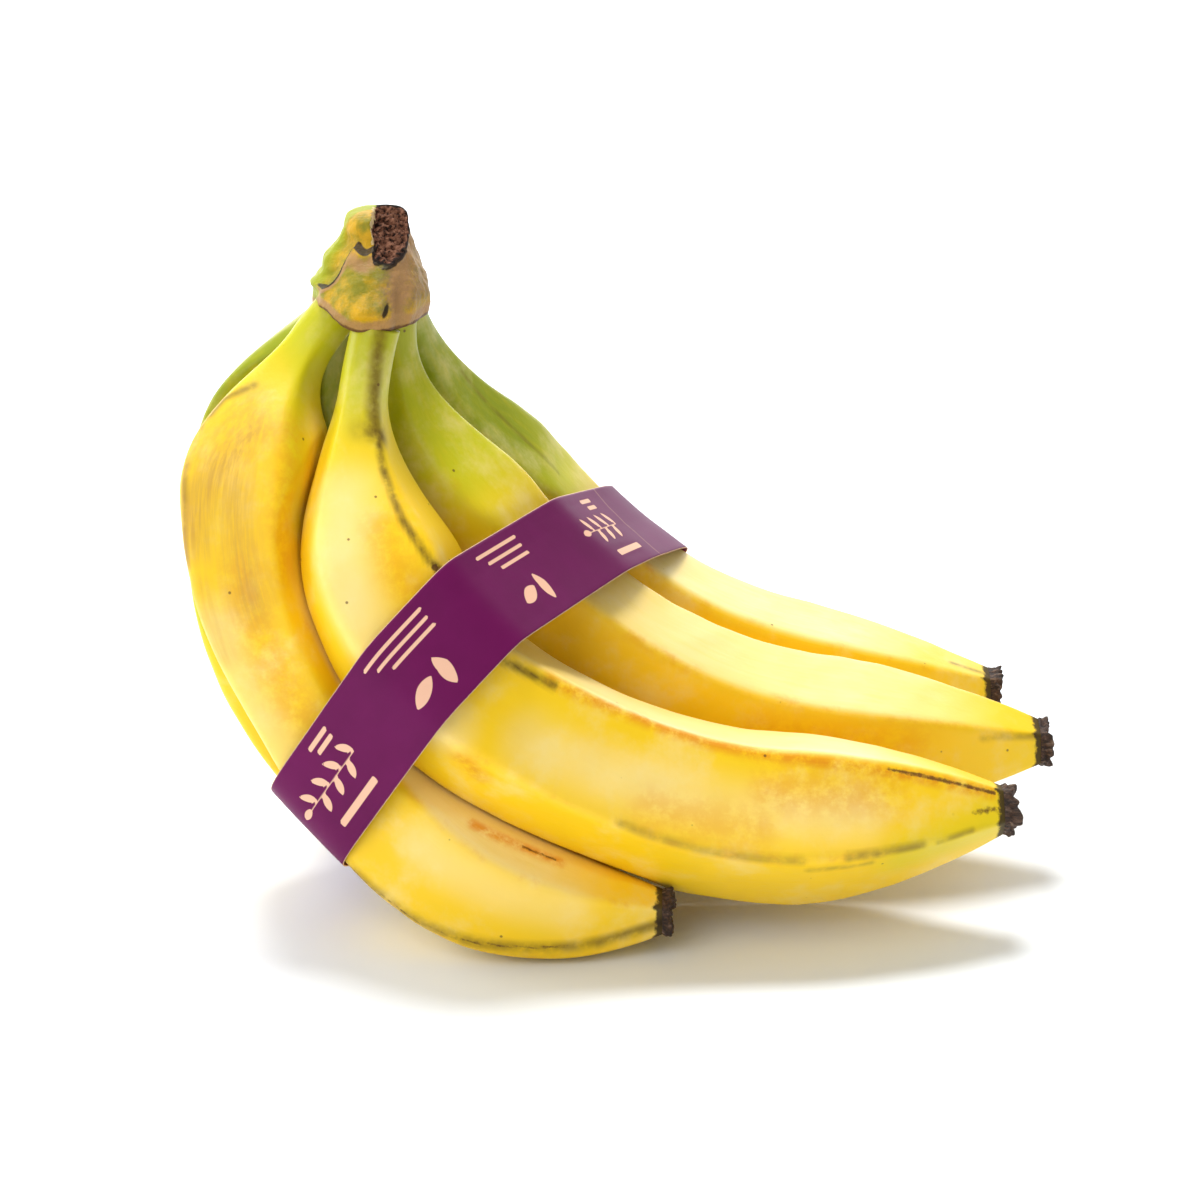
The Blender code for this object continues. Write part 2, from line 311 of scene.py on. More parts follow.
class Surface:
    """A material in the making: colour laid over colour, and relief over relief."""

    def __init__(self, name: str, colour: str, grain: float = 1.0) -> None:
        """Start a material of one colour.

        Args:
            name: What the material is.
            colour: Its first colour, as a hex code.
            grain: How much longer a combed pattern is along the piece, as a share of 1.
        """
        self.material = bpy.data.materials.new(name)
        self.material.use_nodes = True
        self.tree = self.material.node_tree
        self.tree.nodes.clear()
        self.place = add(self.tree, "ShaderNodeTexCoord", output="Object")
        self.grain = grain
        self.colour: object = colour
        self.normal: bpy.types.NodeSocket | None = None

    def pattern(self, size: float, detail: float, rough: float, combed: bool) -> dict:
        """Work out what a cloudy pattern takes.

        Args:
            size: Across one of its patches, in metres.
            detail: How many finer patterns are added to it.
            rough: How strong the finer ones are.
            combed: Whether it is drawn out along the mesh's own grain.

        Returns:
            Socket names and what they take.
        """
        place = self.place
        if combed:
            own = add(self.tree, "ShaderNodeAttribute", output="Vector", attribute_name="grain")
            stretch = {"Vector": own, "Scale": (1.0, 1.0, self.grain)}
            place = add(self.tree, "ShaderNodeMapping", stretch)
        return {"Vector": place, "Scale": 1.0 / size, "Detail": detail, "Roughness": rough}

    def cloud(
        self,
        size: float,
        detail: float = 3.0,
        rough: float = 0.55,
        swing: float = 1.0,
        start: float = 0.0,
    ) -> bpy.types.NodeSocket:
        """Make a cloudy unevenness, from start to start plus swing.

        Args:
            size: Across one of its patches, in metres.
            detail: How many finer patterns are added to it.
            rough: How strong the finer ones are.
            swing: What its 0 to 1 is multiplied by.
            start: What is added to that.

        Returns:
            The uneven value.
        """
        noise = add(self.tree, "ShaderNodeTexNoise", self.pattern(size, detail, rough, False))
        return add(self.tree, "ShaderNodeMath", {0: noise, 1: swing, 2: start}, operation="MULTIPLY_ADD")

    def patches(
        self,
        low: float,
        high: float,
        size: float,
        detail: float = 3.0,
        rough: float = 0.55,
        combed: bool = False,
    ) -> bpy.types.NodeSocket:
        """Make soft-edged patches: a cloudy pattern that is 0 at low and 1 at high.

        Args:
            low: The pattern's value where a patch begins.
            high: Its value where the patch is full.
            size: Across a patch, in metres.
            detail: How many finer patterns are added to it.
            rough: How strong the finer ones are.
            combed: Whether it is drawn out along the mesh's own grain.

        Returns:
            The share of each place that is in a patch.
        """
        noise = add(self.tree, "ShaderNodeTexNoise", self.pattern(size, detail, rough, combed))
        ends = {"Value": noise, "From Min": low, "From Max": high}
        return add(self.tree, "ShaderNodeMapRange", ends, interpolation_type="SMOOTHSTEP")

    def area(self, name: str, low: float, high: float, uneven: object = 0.0) -> bpy.types.NodeSocket:
        """Read where one of the mesh's fields is high, with a soft or a ragged edge.

        Args:
            name: The field.
            low: Its value where the area begins.
            high: Its value where the area is full.
            uneven: What is added to the field first.

        Returns:
            The share of each place that is in the area.
        """
        field_value = add(self.tree, "ShaderNodeMath", {0: name, 1: uneven}, operation="ADD")
        ends = {"Value": field_value, "From Min": low, "From Max": high}
        return add(self.tree, "ShaderNodeMapRange", ends, interpolation_type="SMOOTHSTEP")

    def lay(self, colour: object, *shares: object) -> None:
        """Lay a colour over what is there, by the product of its shares.

        Args:
            colour: A hex code or a socket.
            shares: Numbers, sockets or names of the mesh's fields.
        """
        mask = shares[0]
        for share in shares[1:]:
            mask = add(self.tree, "ShaderNodeMath", {0: mask, 1: share}, operation="MULTIPLY")
        inputs = {0: mask, 6: self.colour, 7: colour}
        self.colour = add(self.tree, "ShaderNodeMix", inputs, output=2, data_type="RGBA")

    def relief(
        self,
        depth: float,
        strength: float,
        height: object = None,
        size: float = MM,
        detail: float = 3.0,
        rough: float = 0.55,
        combed: bool = False,
    ) -> None:
        """Raise the surface on top of the relief that is there.

        Args:
            depth: How far a height of 1 stands out, in metres.
            strength: Share of the relief that shows.
            height: Its height, or None for a cloudy one.
            size: Across a patch of a cloudy one, in metres.
            detail: How many finer patterns are added to it.
            rough: How strong the finer ones are.
            combed: Whether it is drawn out along the mesh's own grain.
        """
        if height is None:
            height = add(self.tree, "ShaderNodeTexNoise", self.pattern(size, detail, rough, combed))
        inputs = {"Height": height, "Distance": depth, "Strength": strength}
        if self.normal is not None:
            inputs["Normal"] = self.normal
        self.normal = add(self.tree, "ShaderNodeBump", inputs)

    def finish(self, **inputs: object) -> bpy.types.Material:
        """Close the material with its shader.

        Args:
            inputs: The shader's values; underscores stand for spaces.

        Returns:
            The material.
        """
        named = {name.replace("_", " "): value for name, value in inputs.items()}
        named["Base Color"] = self.colour
        if self.normal is not None:
            named["Normal"] = self.normal
        shader = add(self.tree, "ShaderNodeBsdfPrincipled", named)
        add(self.tree, "ShaderNodeOutputMaterial", {"Surface": shader})
        return self.material


# Finishes.


@dataclass(frozen=True)
class BananaPeel:
    """Waxy peel of a dessert banana, smooth with a satin gloss.

    To the eye it is a saturated warm yellow, paler in soft patches, green at the
    neck, with brown rubbed crests, small specks and a few dry brown scars. Its top
    facet is laid paler as a painted highlight, and its pale waxy haze is partly a
    painted highlight too.
    """

    name: str = "ripe_banana_peel"
    green: str = "#A2A60A"
    lime: str = "#C8C414"
    young: str = "#ECCB1C"
    yellow: str = "#F8CA14"
    pale: str = "#F9E29C"
    amber: str = "#DE8A08"
    tan: str = "#BE8C3C"
    olive: str = "#6B520C"
    brown: str = "#5A3511"
    black: str = "#241509"
    mottle: float = 28.0 * MM  # across a pale patch
    scuff: float = 1.1 * MM  # across a scuffed fibre
    ragged: float = 1.6 * MM  # across a notch in a scar's edge
    speck: float = 5.5 * MM  # between small specks
    pore: float = 0.55 * MM  # between pores, drawn twice as coarse as they are
    fibre: float = 2.2 * MM  # across a fibre under the skin
    dent: float = 7.0 * MM  # across a shallow dent
    roughness: float = 0.42

    def material(self) -> bpy.types.Material:
        """Build the material; it reads the fields that a peel's mesh carries.

        Returns:
            The material.
        """
        s = Surface(self.name, self.yellow, grain=0.07)
        uneven = s.cloud(self.mottle, 2.0, swing=0.30, start=-0.15)
        ripe = add(s.tree, "ShaderNodeMath", {0: "ripe", 1: uneven}, operation="ADD")
        s.colour = add(
            s.tree, "ShaderNodeValToRGB", {"Fac": ripe},
            stops=((0.0, self.green), (0.34, self.lime), (0.68, self.young), (1.0, self.yellow)),
        )
        s.lay(self.pale, s.patches(0.46, 0.74, self.mottle * 0.55, 5.0, 0.62), 0.42)
        # Painted highlight: the top facet, read from the pale field, is laid paler.
        s.lay(self.pale, "pale", s.cloud(self.mottle, 2.0, swing=0.7, start=0.40))
        s.lay(self.young, s.patches(0.40, 0.80, 1.6 * MM, 3.0, 0.6, combed=True), 0.16)
        s.lay(self.amber, "crest", s.patches(0.50, 0.72, 9.0 * MM, 5.0, 0.7), 0.40)
        s.lay(self.lime, "unripe", 0.7)
        # Pale waxy haze, partly a painted highlight on the fronts of the front fingers.
        s.lay(self.pale, "bloom_and_highlight", s.cloud(self.mottle, 2.0, swing=0.9, start=0.15))
        s.lay(self.amber, "blush", s.patches(0.30, 0.62, 4.0 * MM, 5.0, 0.7))
        s.lay(self.olive, "stain", s.patches(0.18, 0.60, 6.0 * MM, 4.0, 0.6))
        combed = s.patches(0.34, 0.64, self.scuff, 4.0, 0.7, combed=True)
        scuffed = add(s.tree, "ShaderNodeMath", {0: combed, 1: 0.45, 2: 0.42}, operation="MULTIPLY_ADD")
        rub = add(s.tree, "ShaderNodeMath", {0: "rub", 1: scuffed}, operation="MULTIPLY")
        s.lay(self.tan, rub)
        notches = s.cloud(self.ragged, 4.0, 0.7, swing=0.9, start=-0.45)
        scar = s.area("scar", 0.30, 0.62, notches)
        s.lay(self.brown, scar, 0.88)
        s.lay(self.brown, *self.specks(s), 0.75)
        singe = s.area("singe", 0.38, 0.78, notches)
        s.lay(self.black, singe, 0.94)
        dull = add(s.tree, "ShaderNodeMath", {0: rub, 1: scar}, operation="MAXIMUM")
        dull = add(s.tree, "ShaderNodeMath", {0: dull, 1: singe}, operation="MAXIMUM")
        rough = {0: dull, 1: 0.28, 2: self.roughness}
        s.relief(0.06 * MM, 0.5, size=self.pore * 2.0, detail=2.0)
        s.relief(0.16 * MM, 0.5, size=self.fibre, rough=0.6, combed=True)
        s.relief(0.30 * MM, 0.45, size=self.dent)
        sunk = add(s.tree, "ShaderNodeMath", {0: 1.0, 1: scar}, operation="SUBTRACT")
        s.relief(0.14 * MM, 0.6, sunk)
        return s.finish(
            Roughness=add(s.tree, "ShaderNodeMath", rough, operation="MULTIPLY_ADD"),
            IOR=1.45, Specular_IOR_Level=0.30,
            Subsurface_Weight=0.08, Subsurface_Radius=(1.0, 0.75, 0.10), Subsurface_Scale=0.0025,
            Coat_Weight=0.08, Coat_Roughness=0.30,
        )

    def specks(self, s: Surface) -> tuple[bpy.types.NodeSocket, bpy.types.NodeSocket]:
        """Scatter round specks, one in about four cells of the pattern.

        Args:
            s: The material in the making.

        Returns:
            Where a cell's dot is, and which cells have one.
        """
        cells = add(
            s.tree, "ShaderNodeTexVoronoi",
            {"Vector": s.place, "Scale": 1.0 / self.speck, "Randomness": 1.0}, "Distance",
        )
        chance = add(s.tree, "ShaderNodeSeparateColor", {0: cells.node.outputs["Color"]})
        dot = {"Value": cells, "From Min": 0.085, "From Max": 0.045}
        chosen = {"Value": chance, "From Min": 0.72, "From Max": 0.80}
        return (
            add(s.tree, "ShaderNodeMapRange", dot, interpolation_type="SMOOTHSTEP"),
            add(s.tree, "ShaderNodeMapRange", chosen, interpolation_type="SMOOTHSTEP"),
        )


@dataclass(frozen=True)
class DriedStub:
    """Dried flower end of a banana, shrivelled and fibrous.

    To the eye it is dark brown to black, matt, with paler grey fibres on its crests,
    partly dust and partly a painted highlight.
    """

    name: str = "dried_flower_stub"
    black: str = "#23160E"
    brown: str = "#5A3E2C"
    dust_and_highlight: str = "#A48C78"
    fibre: float = 0.9 * MM  # across a fibre

    def material(self) -> bpy.types.Material:
        """Build the material from the stub's grain and its height field.

        Returns:
            The material.
        """
        s = Surface(self.name, self.black, grain=0.25)
        fibres = {"size": self.fibre, "detail": 5.0, "rough": 0.7, "combed": True}
        s.lay(self.brown, s.patches(0.35, 0.72, **fibres))
        # Painted highlight, in part: pale grey dust laid on the raised crests.
        s.lay(self.dust_and_highlight, s.area("raised", 0.45, 1.0), s.patches(0.45, 0.75, **fibres), 0.75)
        s.relief(0.5 * MM, 0.9, **fibres)
        s.relief(0.25 * MM, 0.8, size=0.5 * MM, detail=4.0, rough=0.7)
        return s.finish(Roughness=0.72, IOR=1.45)


@dataclass(frozen=True)
class CrownSkin:
    """Skin of a banana crown that dries after the hand is cut from its stalk.

    To the eye it is olive to ochre with a pinkish tan lower rim, a speckled
    grey-brown shoulder, and a reddish dark brown, fibrous cut face. The tan low
    down and the grey-brown towards the tips are partly painted shade, and the tan
    in its groove and under its ledge is painted shade.
    """

    name: str = "drying_crown_skin"
    ochre: str = "#CF9E14"
    olive: str = "#87801A"
    lime: str = "#97A010"
    grey: str = "#806A4C"
    tan: str = "#A67C50"
    rim: str = "#5A3A24"
    cut: str = "#56301F"
    flesh: str = "#B27C60"
    char: str = "#150C08"
    cream: str = "#EBCF9C"
    patch: float = 7.0 * MM  # across a patch of colour
    dust: float = 0.8 * MM  # across a grain of dust
    ragged: float = 1.8 * MM  # across a notch in an edge
    fibre: float = 1.1 * MM  # across a torn fibre
    wrinkle: float = 2.6 * MM  # across a wrinkle

    def material(self) -> bpy.types.Material:
        """Build the material from the fields that the crown's mesh carries.

        Returns:
            The material.
        """
        s = Surface(self.name, self.ochre)
        s.lay(self.olive, s.patches(0.36, 0.66, self.patch, 5.0, 0.65))
        s.lay(self.lime, "green")
        # Grey-brown dust on the shoulder towards the tips, laid partly as painted shade.
        dust = {0: s.patches(0.38, 0.66, self.dust, 4.0, 0.7), 1: 0.6, 2: 0.35}
        s.lay(self.grey, "grey", add(s.tree, "ShaderNodeMath", dust, operation="MULTIPLY_ADD"))
        notches = s.cloud(self.ragged, 5.0, 0.7, swing=0.8, start=-0.4)
        # Tan, darker towards the bottom and the tips as partly painted shade, and in the groove and under the
        # ledge as painted shade.
        s.lay(self.tan, s.area("low", 0.25, 0.75, notches), 0.85)
        s.lay(self.rim, s.area("rim", 0.45, 0.80, notches), 0.85)
        s.lay(self.cream, s.area("cream", 0.35, 0.70, notches), 0.8)
        fibres = {"size": self.fibre, "detail": 6.0, "rough": 0.75}
        pale = {0: s.patches(0.40, 0.66, **fibres), 6: self.cut, 7: self.flesh}
        torn = add(s.tree, "ShaderNodeMix", pale, output=2, data_type="RGBA")
        dark = {0: s.patches(0.50, 0.38, **fibres), 6: torn, 7: self.char}
        torn = add(s.tree, "ShaderNodeMix", dark, output=2, data_type="RGBA")
        face = s.area("cut", 0.35, 0.60)
        s.lay(torn, face)
        s.lay(self.char, s.area("crack", 0.35, 0.70, notches), 0.92)
        s.relief(0.12 * MM, 0.6, size=0.6 * MM, detail=4.0, rough=0.7)
        height = add(s.tree, "ShaderNodeMath", {0: s.cloud(**fibres), 1: face}, operation="MULTIPLY")
        s.relief(0.9 * MM, 1.0, height)
        s.relief(0.9 * MM, 0.7, size=self.wrinkle, detail=4.0, rough=0.6)
        rough = add(s.tree, "ShaderNodeMath", {0: face, 1: 0.25, 2: 0.52}, operation="MULTIPLY_ADD")
        return s.finish(Roughness=rough, IOR=1.45, Specular_IOR_Level=0.25)


@dataclass(frozen=True)
class PrintedPaper:
    """Coated label paper printed solid plum, with plain peach marks and edges.

    To the eye it is a deep purple with a faint satin gloss, a painted highlight a
    hair lighter along its crease, and thin unprinted edges.
    """

    name: str = "printed_label_paper"
    plum: str = "#6E1052"
    deep: str = "#5A0A42"
    peach: str = "#F0BE9E"
    bare: str = "#D8B08C"
    fibre: float = 0.35 * MM  # between paper fibres, drawn three times as coarse

    def material(self) -> bpy.types.Material:
        """Build the material from the strip's print, edge and crease fields.

        Returns:
            The material.
        """
        s = Surface(self.name, self.plum)
        s.lay(self.deep, s.cloud(14.0 * MM))
        broken = s.cloud(1.2 * MM, 4.0, swing=0.6, start=-0.3)
        # Painted highlight: a thin, broken line a hair lighter along the crease.
        s.lay(self.peach, s.area("crease_highlight", 0.4, 1.0, broken), 0.16)
        s.lay(self.peach, s.area("print", 0.10, -0.05), 0.95)
        s.lay(self.bare, s.area("edge", 0.26, 0.14, s.cloud(2.0 * MM, swing=0.12)))
        s.relief(0.02 * MM, 0.5, size=self.fibre * 3.0)
        s.relief(0.12 * MM, 0.5, size=9.0 * MM, detail=2.0)
        return s.finish(Roughness=0.48, IOR=1.45, Specular_IOR_Level=0.14)


# The bunch.


class MarkKind(Enum):
    """What months of growth, and the journey to the shop, leave on a peel."""

    SCAR = "scar"  # dry brown line
    RUB = "rub"  # tan scuffed skin
    STAIN = "stain"  # soft olive brown shade
    BLUSH = "blush"  # soft orange bruise
    UNRIPE = "unripe"  # green that lingers
    BLOOM = "bloom_and_highlight"  # pale waxy haze, partly a painted highlight


@dataclass(frozen=True)
class Mark:
    """One mark on a peel, as a stroke over its unrolled skin."""

    kind: MarkKind
    points: tuple[tuple[float, float], ...]  # mm from the root, degrees round
    width: float  # mm from its middle to where it ends
    strength: float = 1.0


@dataclass(frozen=True)
class Finger:
    """One banana: its bent middle line, its girth, and its state."""

    name: str
    root: tuple[float, float]  # X and Z where the middle line starts, in mm
    length: float  # along the middle line, in mm
    headings: tuple[float, ...]  # in the X-Z plane at equal shares, in degrees
    side: tuple[float, float, float]  # Y at the root, the middle and the tip, in mm
    girth: float  # share of the full calibre
    roll: float  # degrees from the front to the first ridge, at the neck
    twist: float  # degrees that the ridges turn, by the middle of the body
    slot: str  # the record's finish
    ripening: tuple[float, float]  # shares of the length where green fades
    shoulder: tuple[float, float] = (8.0, 58.0)  # mm where the neck swells, and how far
    stub: float = 4.2  # mm that its dry stub stands out of the peel
    firm: float = 1.0  # how hard it presses on its neighbours, in shares of its girth
    marks: tuple[Mark, ...] = ()


@dataclass
class Skin:
    """A finger's surface as rings round its middle line, in metres."""

    middle: Array
    rings: Array
    radius: Array
    distance: Array  # of each ring from the root, along the middle line
    angle: Array  # of each column, from the front towards the inner side
    corner: Array  # of each ring's first ridge


@dataclass
class Fingers:
    """The six fingers, pressed together."""

    calibre: float = 37.0  # thickness of a full finger, in mm
    neck: float = 11.0  # thickness at the crown
    tip: float = 10.5  # thickness before the dry stub
    taper: float = 50.0  # from full body to tip
    stub: float = 3.2  # length of the stub
    gap: float = 0.5  # between pressed fingers
    hidden: float = 6.0  # of each neck, inside the crown
    tuck: float = 0.24  # share by which the necks draw together in the crown
    tuck_reach: float = 20.0  # mm of a neck over which they do
    sway: tuple[float, float] = (0.42, 0.30)  # shares where side's first part ends, and its second begins
    facet: float = 72.0  # degrees from ridge to ridge
    flat: float = 0.955  # distance of a facet from the middle, in shares of the radius
    slow_wave: tuple[float, float] = (0.35, 34.0)  # height and length in mm
    quick_wave: tuple[float, float] = (0.12, 11.0)  # height and length in mm
    samples: int = 190  # points read on another finger's middle line
    rings: int = 320
    around: int = 160
    members: tuple[Finger, ...] = field(default_factory=lambda: FINGERS)
    shift: Array = field(default_factory=lambda: np.zeros(3))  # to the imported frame

    def middle_line(self, finger: Finger, shares: Array) -> Array:
        """Follow the headings from the root in 800 equal steps, and read the places.

        The line sways from side to side by two smooth steps in Y.

        Args:
            finger: The finger.
            shares: Shares of its length; outside 0 to 1 the line runs on straight.

        Returns:
            Points in metres.
        """
        fine = np.linspace(0.0, 1.0, 801)
        heading = np.radians(through(finger.headings, fine))
        between = 0.5 * (heading[1:] + heading[:-1])
        step = finger.length * MM * fine[1]
        run = np.concatenate(([0.0], np.cumsum(np.cos(between)))) * step
        rise = np.concatenate(([0.0], np.cumsum(np.sin(between)))) * step
        root, middle, tip = (value * MM for value in finger.side)
        end, begin = self.sway
        across = root + (middle - root) * smooth(fine / end)
        across += (tip - middle) * smooth((fine - begin) / (1.0 - begin))
        points = np.stack([finger.root[0] * MM + run, across, finger.root[1] * MM + rise], axis=1)
        inside = np.clip(shares, 0.0, 1.0)
        placed = read_points(inside, fine, points)
        first = (points[1] - points[0]) / fine[1]
        last = (points[-1] - points[-2]) / fine[1]
        before = np.minimum(shares, 0.0)[:, None] * first
        return placed + before + np.maximum(shares - 1.0, 0.0)[:, None] * last

    def radius_along(self, finger: Finger, distance: Array) -> Array:
        """Work out the radius: neck, smooth swell, rounded taper.

        Args:
            finger: The finger.
            distance: Distances from the root, in mm.

        Returns:
            Radii in mm.
        """
        body = 0.5 * self.calibre * finger.girth
        swell = smooth((distance - finger.shoulder[0]) / finger.shoulder[1])
        radius = 0.5 * self.neck + (body - 0.5 * self.neck) * swell
        end = np.clip((distance - finger.length + self.taper + self.stub) / self.taper, 0.0, 1.0)
        return np.minimum(radius, 0.5 * self.tip + (body - 0.5 * self.tip) * (1.0 - end**1.7))

    def ring_shape(self, angle: Array, corner: Array, crisp: Array) -> Array:
        """Reach of a soft pentagon at an angle, about 1.

        Five half planes stand 72 degrees apart; the reach is the inverse of the
        power mean of how far each lets it go, and a higher power has crisper ridges.

        Args:
            angle: Angles round the ring.
            corner: Angle of the first ridge.
            crisp: The power.

        Returns:
            Reaches in shares of the radius.
        """
        facing = np.stack([
            np.cos(angle - corner - math.radians(self.facet * (k + 0.5))) for k in range(5)
        ])
        total = (np.clip(facing / self.flat, 0.0, None) ** crisp).sum(axis=0)
        return total ** (-1.0 / crisp)

    def grow(self, number: int, finger: Finger) -> Skin:
        """Lay rings along one finger before it is pressed.

        A point is the middle line plus the radius times the pentagon's reach,
        towards the front turned by the angle towards the inner side; slow waves
        of up to half a millimetre keep the facets from being perfect.  Rings
        stand closer together near both ends.

        Args:
            number: The finger's number, which chooses its waves.
            finger: The finger.

        Returns:
            Its skin.
        """
        even = np.linspace(0.0, 1.0, self.rings)
        shares = even - 0.36 * np.sin(TURN * even) / TURN
        begin = self.hidden / finger.length
        shares = begin + shares * (1.0 - self.stub / finger.length - begin)
        middle = self.middle_line(finger, shares)
        middle[:, 1] *= 1.0 - self.tuck * (1.0 - smooth(shares * finger.length / self.tuck_reach))
        along = unit(self.middle_line(finger, shares + 0.002) - self.middle_line(finger, shares - 0.002))
        front = unit(np.array([0.0, -1.0, 0.0]) + along * along[:, 1:2])
        inner = np.cross(front, along)
        radius = self.radius_along(finger, shares * finger.length) * MM
        angle = np.linspace(0.0, TURN, self.around, endpoint=False)
        corner = np.radians(finger.roll + finger.twist * smooth((shares - 0.05) / 0.45))
        depth = smooth((shares - 0.02) / 0.14)[:, None]
        crisp = (12.0 + 12.0 * smooth((shares - 0.2) / 0.3))[:, None]
        shape = 1.0 + (self.ring_shape(angle[None, :], corner[:, None], crisp) - 1.0) * depth
        ways = np.cos(angle)[None, :, None] * front[:, None, :]
        ways = ways + np.sin(angle)[None, :, None] * inner[:, None, :]
        rings = middle[:, None, :] + ways * (radius[:, None] * shape)[..., None]
        waves = self.slow_wave[0] * ripple(rings, self.slow_wave[1] * MM, 10 + number)
        waves = waves + self.quick_wave[0] * ripple(rings, self.quick_wave[1] * MM, 30 + number)
        rings = rings + ways * (waves * depth * (radius / radius.max())[:, None] * MM)[..., None]
        return Skin(middle, rings, radius, shares * finger.length * MM, angle, corner)

    def press(self, skins: list[Skin]) -> None:
        """Flatten fingers where they meet.

        The space between two fingers belongs to the one whose middle line is
        nearer, counted in each finger's own radii.  Each point is drawn back
        towards its own middle line until it lies in its finger's space.

        Args:
            skins: The skins, whose rings are changed.
        """
        firm = [finger.firm for finger in self.members]
        for i, skin in enumerate(skins):
            start = skin.middle[:, None, :]
            own = skin.radius * firm[i]
            reach = np.linalg.norm(skin.rings - start, axis=2)
            ways = (skin.rings - start) / reach[..., None]
            limit = reach.copy()
            for j, other in enumerate(skins):
                if i == j:
                    continue
                dense = np.linspace(0.0, len(other.middle) - 1.0, self.samples)
                whole = np.arange(len(other.middle))
                line = read_points(dense, whole, other.middle)
                size = np.interp(dense, whole, other.radius * firm[j])
                for _ in range(3):
                    place = (start + ways * limit[..., None]).reshape(-1, 3)
                    square = (place**2).sum(1)[:, None] + (line**2).sum(1) - 2.0 * place @ line.T
                    near = (square / size**2).argmin(axis=1).reshape(limit.shape)
                    to_other = line[near] - start
                    distance = np.linalg.norm(to_other, axis=2)
                    towards = (ways * to_other).sum(axis=2) / distance
                    square = towards**2 + (size[near] / own[:, None]) ** 2 - 1.0
                    bound = towards + np.sqrt(np.clip(square, 0.0, None))
                    meets = (square > 0.0) & (bound > 0.05)
                    border = distance / np.where(meets, bound, 1.0)
                    border = border * (1.0 - self.gap * MM / distance)
                    limit = np.where(meets, np.minimum(limit, border), limit)
            limit = soften(limit, 2)
            skin.rings = start + ways * limit[..., None]

    def settle(self, skins: list[Skin]) -> Array:
        """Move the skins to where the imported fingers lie, and flatten their bellies.

        The shift is the middle value, over the six fingers, of the way from each
        skin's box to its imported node's box; for the height, from the top of the
        neck to the top of the box, because presses change the belly.

        Args:
            skins: The pressed skins, which are changed.

        Returns:
            The shift in metres.
        """
        ways = []
        for finger, skin in zip(self.members, skins):
            low, high = (np.array(corner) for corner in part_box(finger.name))
            level = abs(math.cos(math.radians(finger.headings[0])))
            neck_top = (finger.root[1] + 0.5 * self.neck * level) * MM
            flat = skin.rings.reshape(-1, 3)
            centre = 0.5 * (low + high) - 0.5 * (flat.min(axis=0) + flat.max(axis=0))
            ways.append((centre[0], centre[1], high[2] - neck_top))
        shift = np.median(np.array(ways), axis=0)
        for skin in skins:
            skin.middle = skin.middle + shift
            skin.rings = skin.rings + shift
            skin.rings[..., 2] = np.maximum(skin.rings[..., 2], 0.0)
        return shift

    def mark_fields(self, finger: Finger, skin: Skin) -> dict[str, Array]:
        """Spread each kind of mark over the skin, from 0 off it to its strength on it.

        The skin is unrolled: one axis is the distance along, the other the angle
        times the local radius, and a mark fades with the distance to its stroke.

        Args:
            finger: The finger.
            skin: Its skin.

        Returns:
            One field for each kind of mark.
        """
        fields = {kind.value: np.zeros(skin.rings.shape[:2]) for kind in MarkKind}
        along = (skin.distance / MM)[:, None]
        radius = np.maximum(skin.radius / MM, 1.0)[:, None]
        for mark in finger.marks:
            nearest = np.full(skin.rings.shape[:2], 1e3)
            for (s0, a0), (s1, a1) in zip(mark.points[:-1], mark.points[1:]):
                turn = wrapped(skin.angle[None, :] - math.radians(a0))
                dx, dy = s1 - s0, math.radians(a1 - a0) * radius
                x, y = along - s0, turn * radius
                share = np.clip((x * dx + y * dy) / (dx * dx + dy * dy + 1e-9), 0.0, 1.0)
                nearest = np.minimum(nearest, np.hypot(x - share * dx, y - share * dy))
            shade = mark.strength * smooth(1.0 - nearest / mark.width)
            fields[mark.kind.value] = np.maximum(fields[mark.kind.value], shade)
        return fields

    def fields(self, finger: Finger, skin: Skin) -> dict[str, Array]:
        """Work out what the peel's finish reads at each point of the skin.

        Green fades along the finger; ridges are crests; the top facet is painted paler
        as a highlight, where the light and gloss fall on it; and the tip is singed,
        furthest along the ridges.

        Args:
            finger: The finger.
            skin: Its skin.

        Returns:
            The fields by name.
        """
        level = np.zeros((1, self.around))
        share = (skin.distance / MM / finger.length)[:, None] + level
        start, full = finger.ripening
        ripe = smooth((share - start) / (full - start))
        past_ridge = np.degrees(skin.angle[None, :] - skin.corner[:, None])
        to_ridge = past_ridge / self.facet
        to_ridge = np.abs(to_ridge - np.round(to_ridge)) * self.facet
        crest = bell(to_ridge / 5.0) * smooth((share - 0.1) / 0.2)
        end = (skin.distance[-1] - skin.distance)[:, None] / MM + level
        # Painted highlight: the facet just past the first ridge, the top one, is laid paler from about a
        # third of the way along to near the tip.
        facet = smooth((past_ridge + 3.0) / 7.0) * smooth((self.facet + 4.0 - past_ridge) / 12.0)
        pale = facet * smooth((share - 0.30) / 0.25) * smooth((end - 6.0) / 30.0)
        grain = np.stack([
            np.cos(skin.angle)[None, :] * skin.radius[:, None],
            np.sin(skin.angle)[None, :] * skin.radius[:, None],
            skin.distance[:, None] + level,
        ], axis=-1)
        return {
            "ripe": ripe - 0.08 * smooth(1.0 - end / 14.0),
            "crest": crest,
            "pale": pale,
            "singe": smooth(1.0 - end / 3.4) + 0.35 * crest * smooth(1.0 - end / 12.0),
            "grain": grain,
            **self.mark_fields(finger, skin),
        }

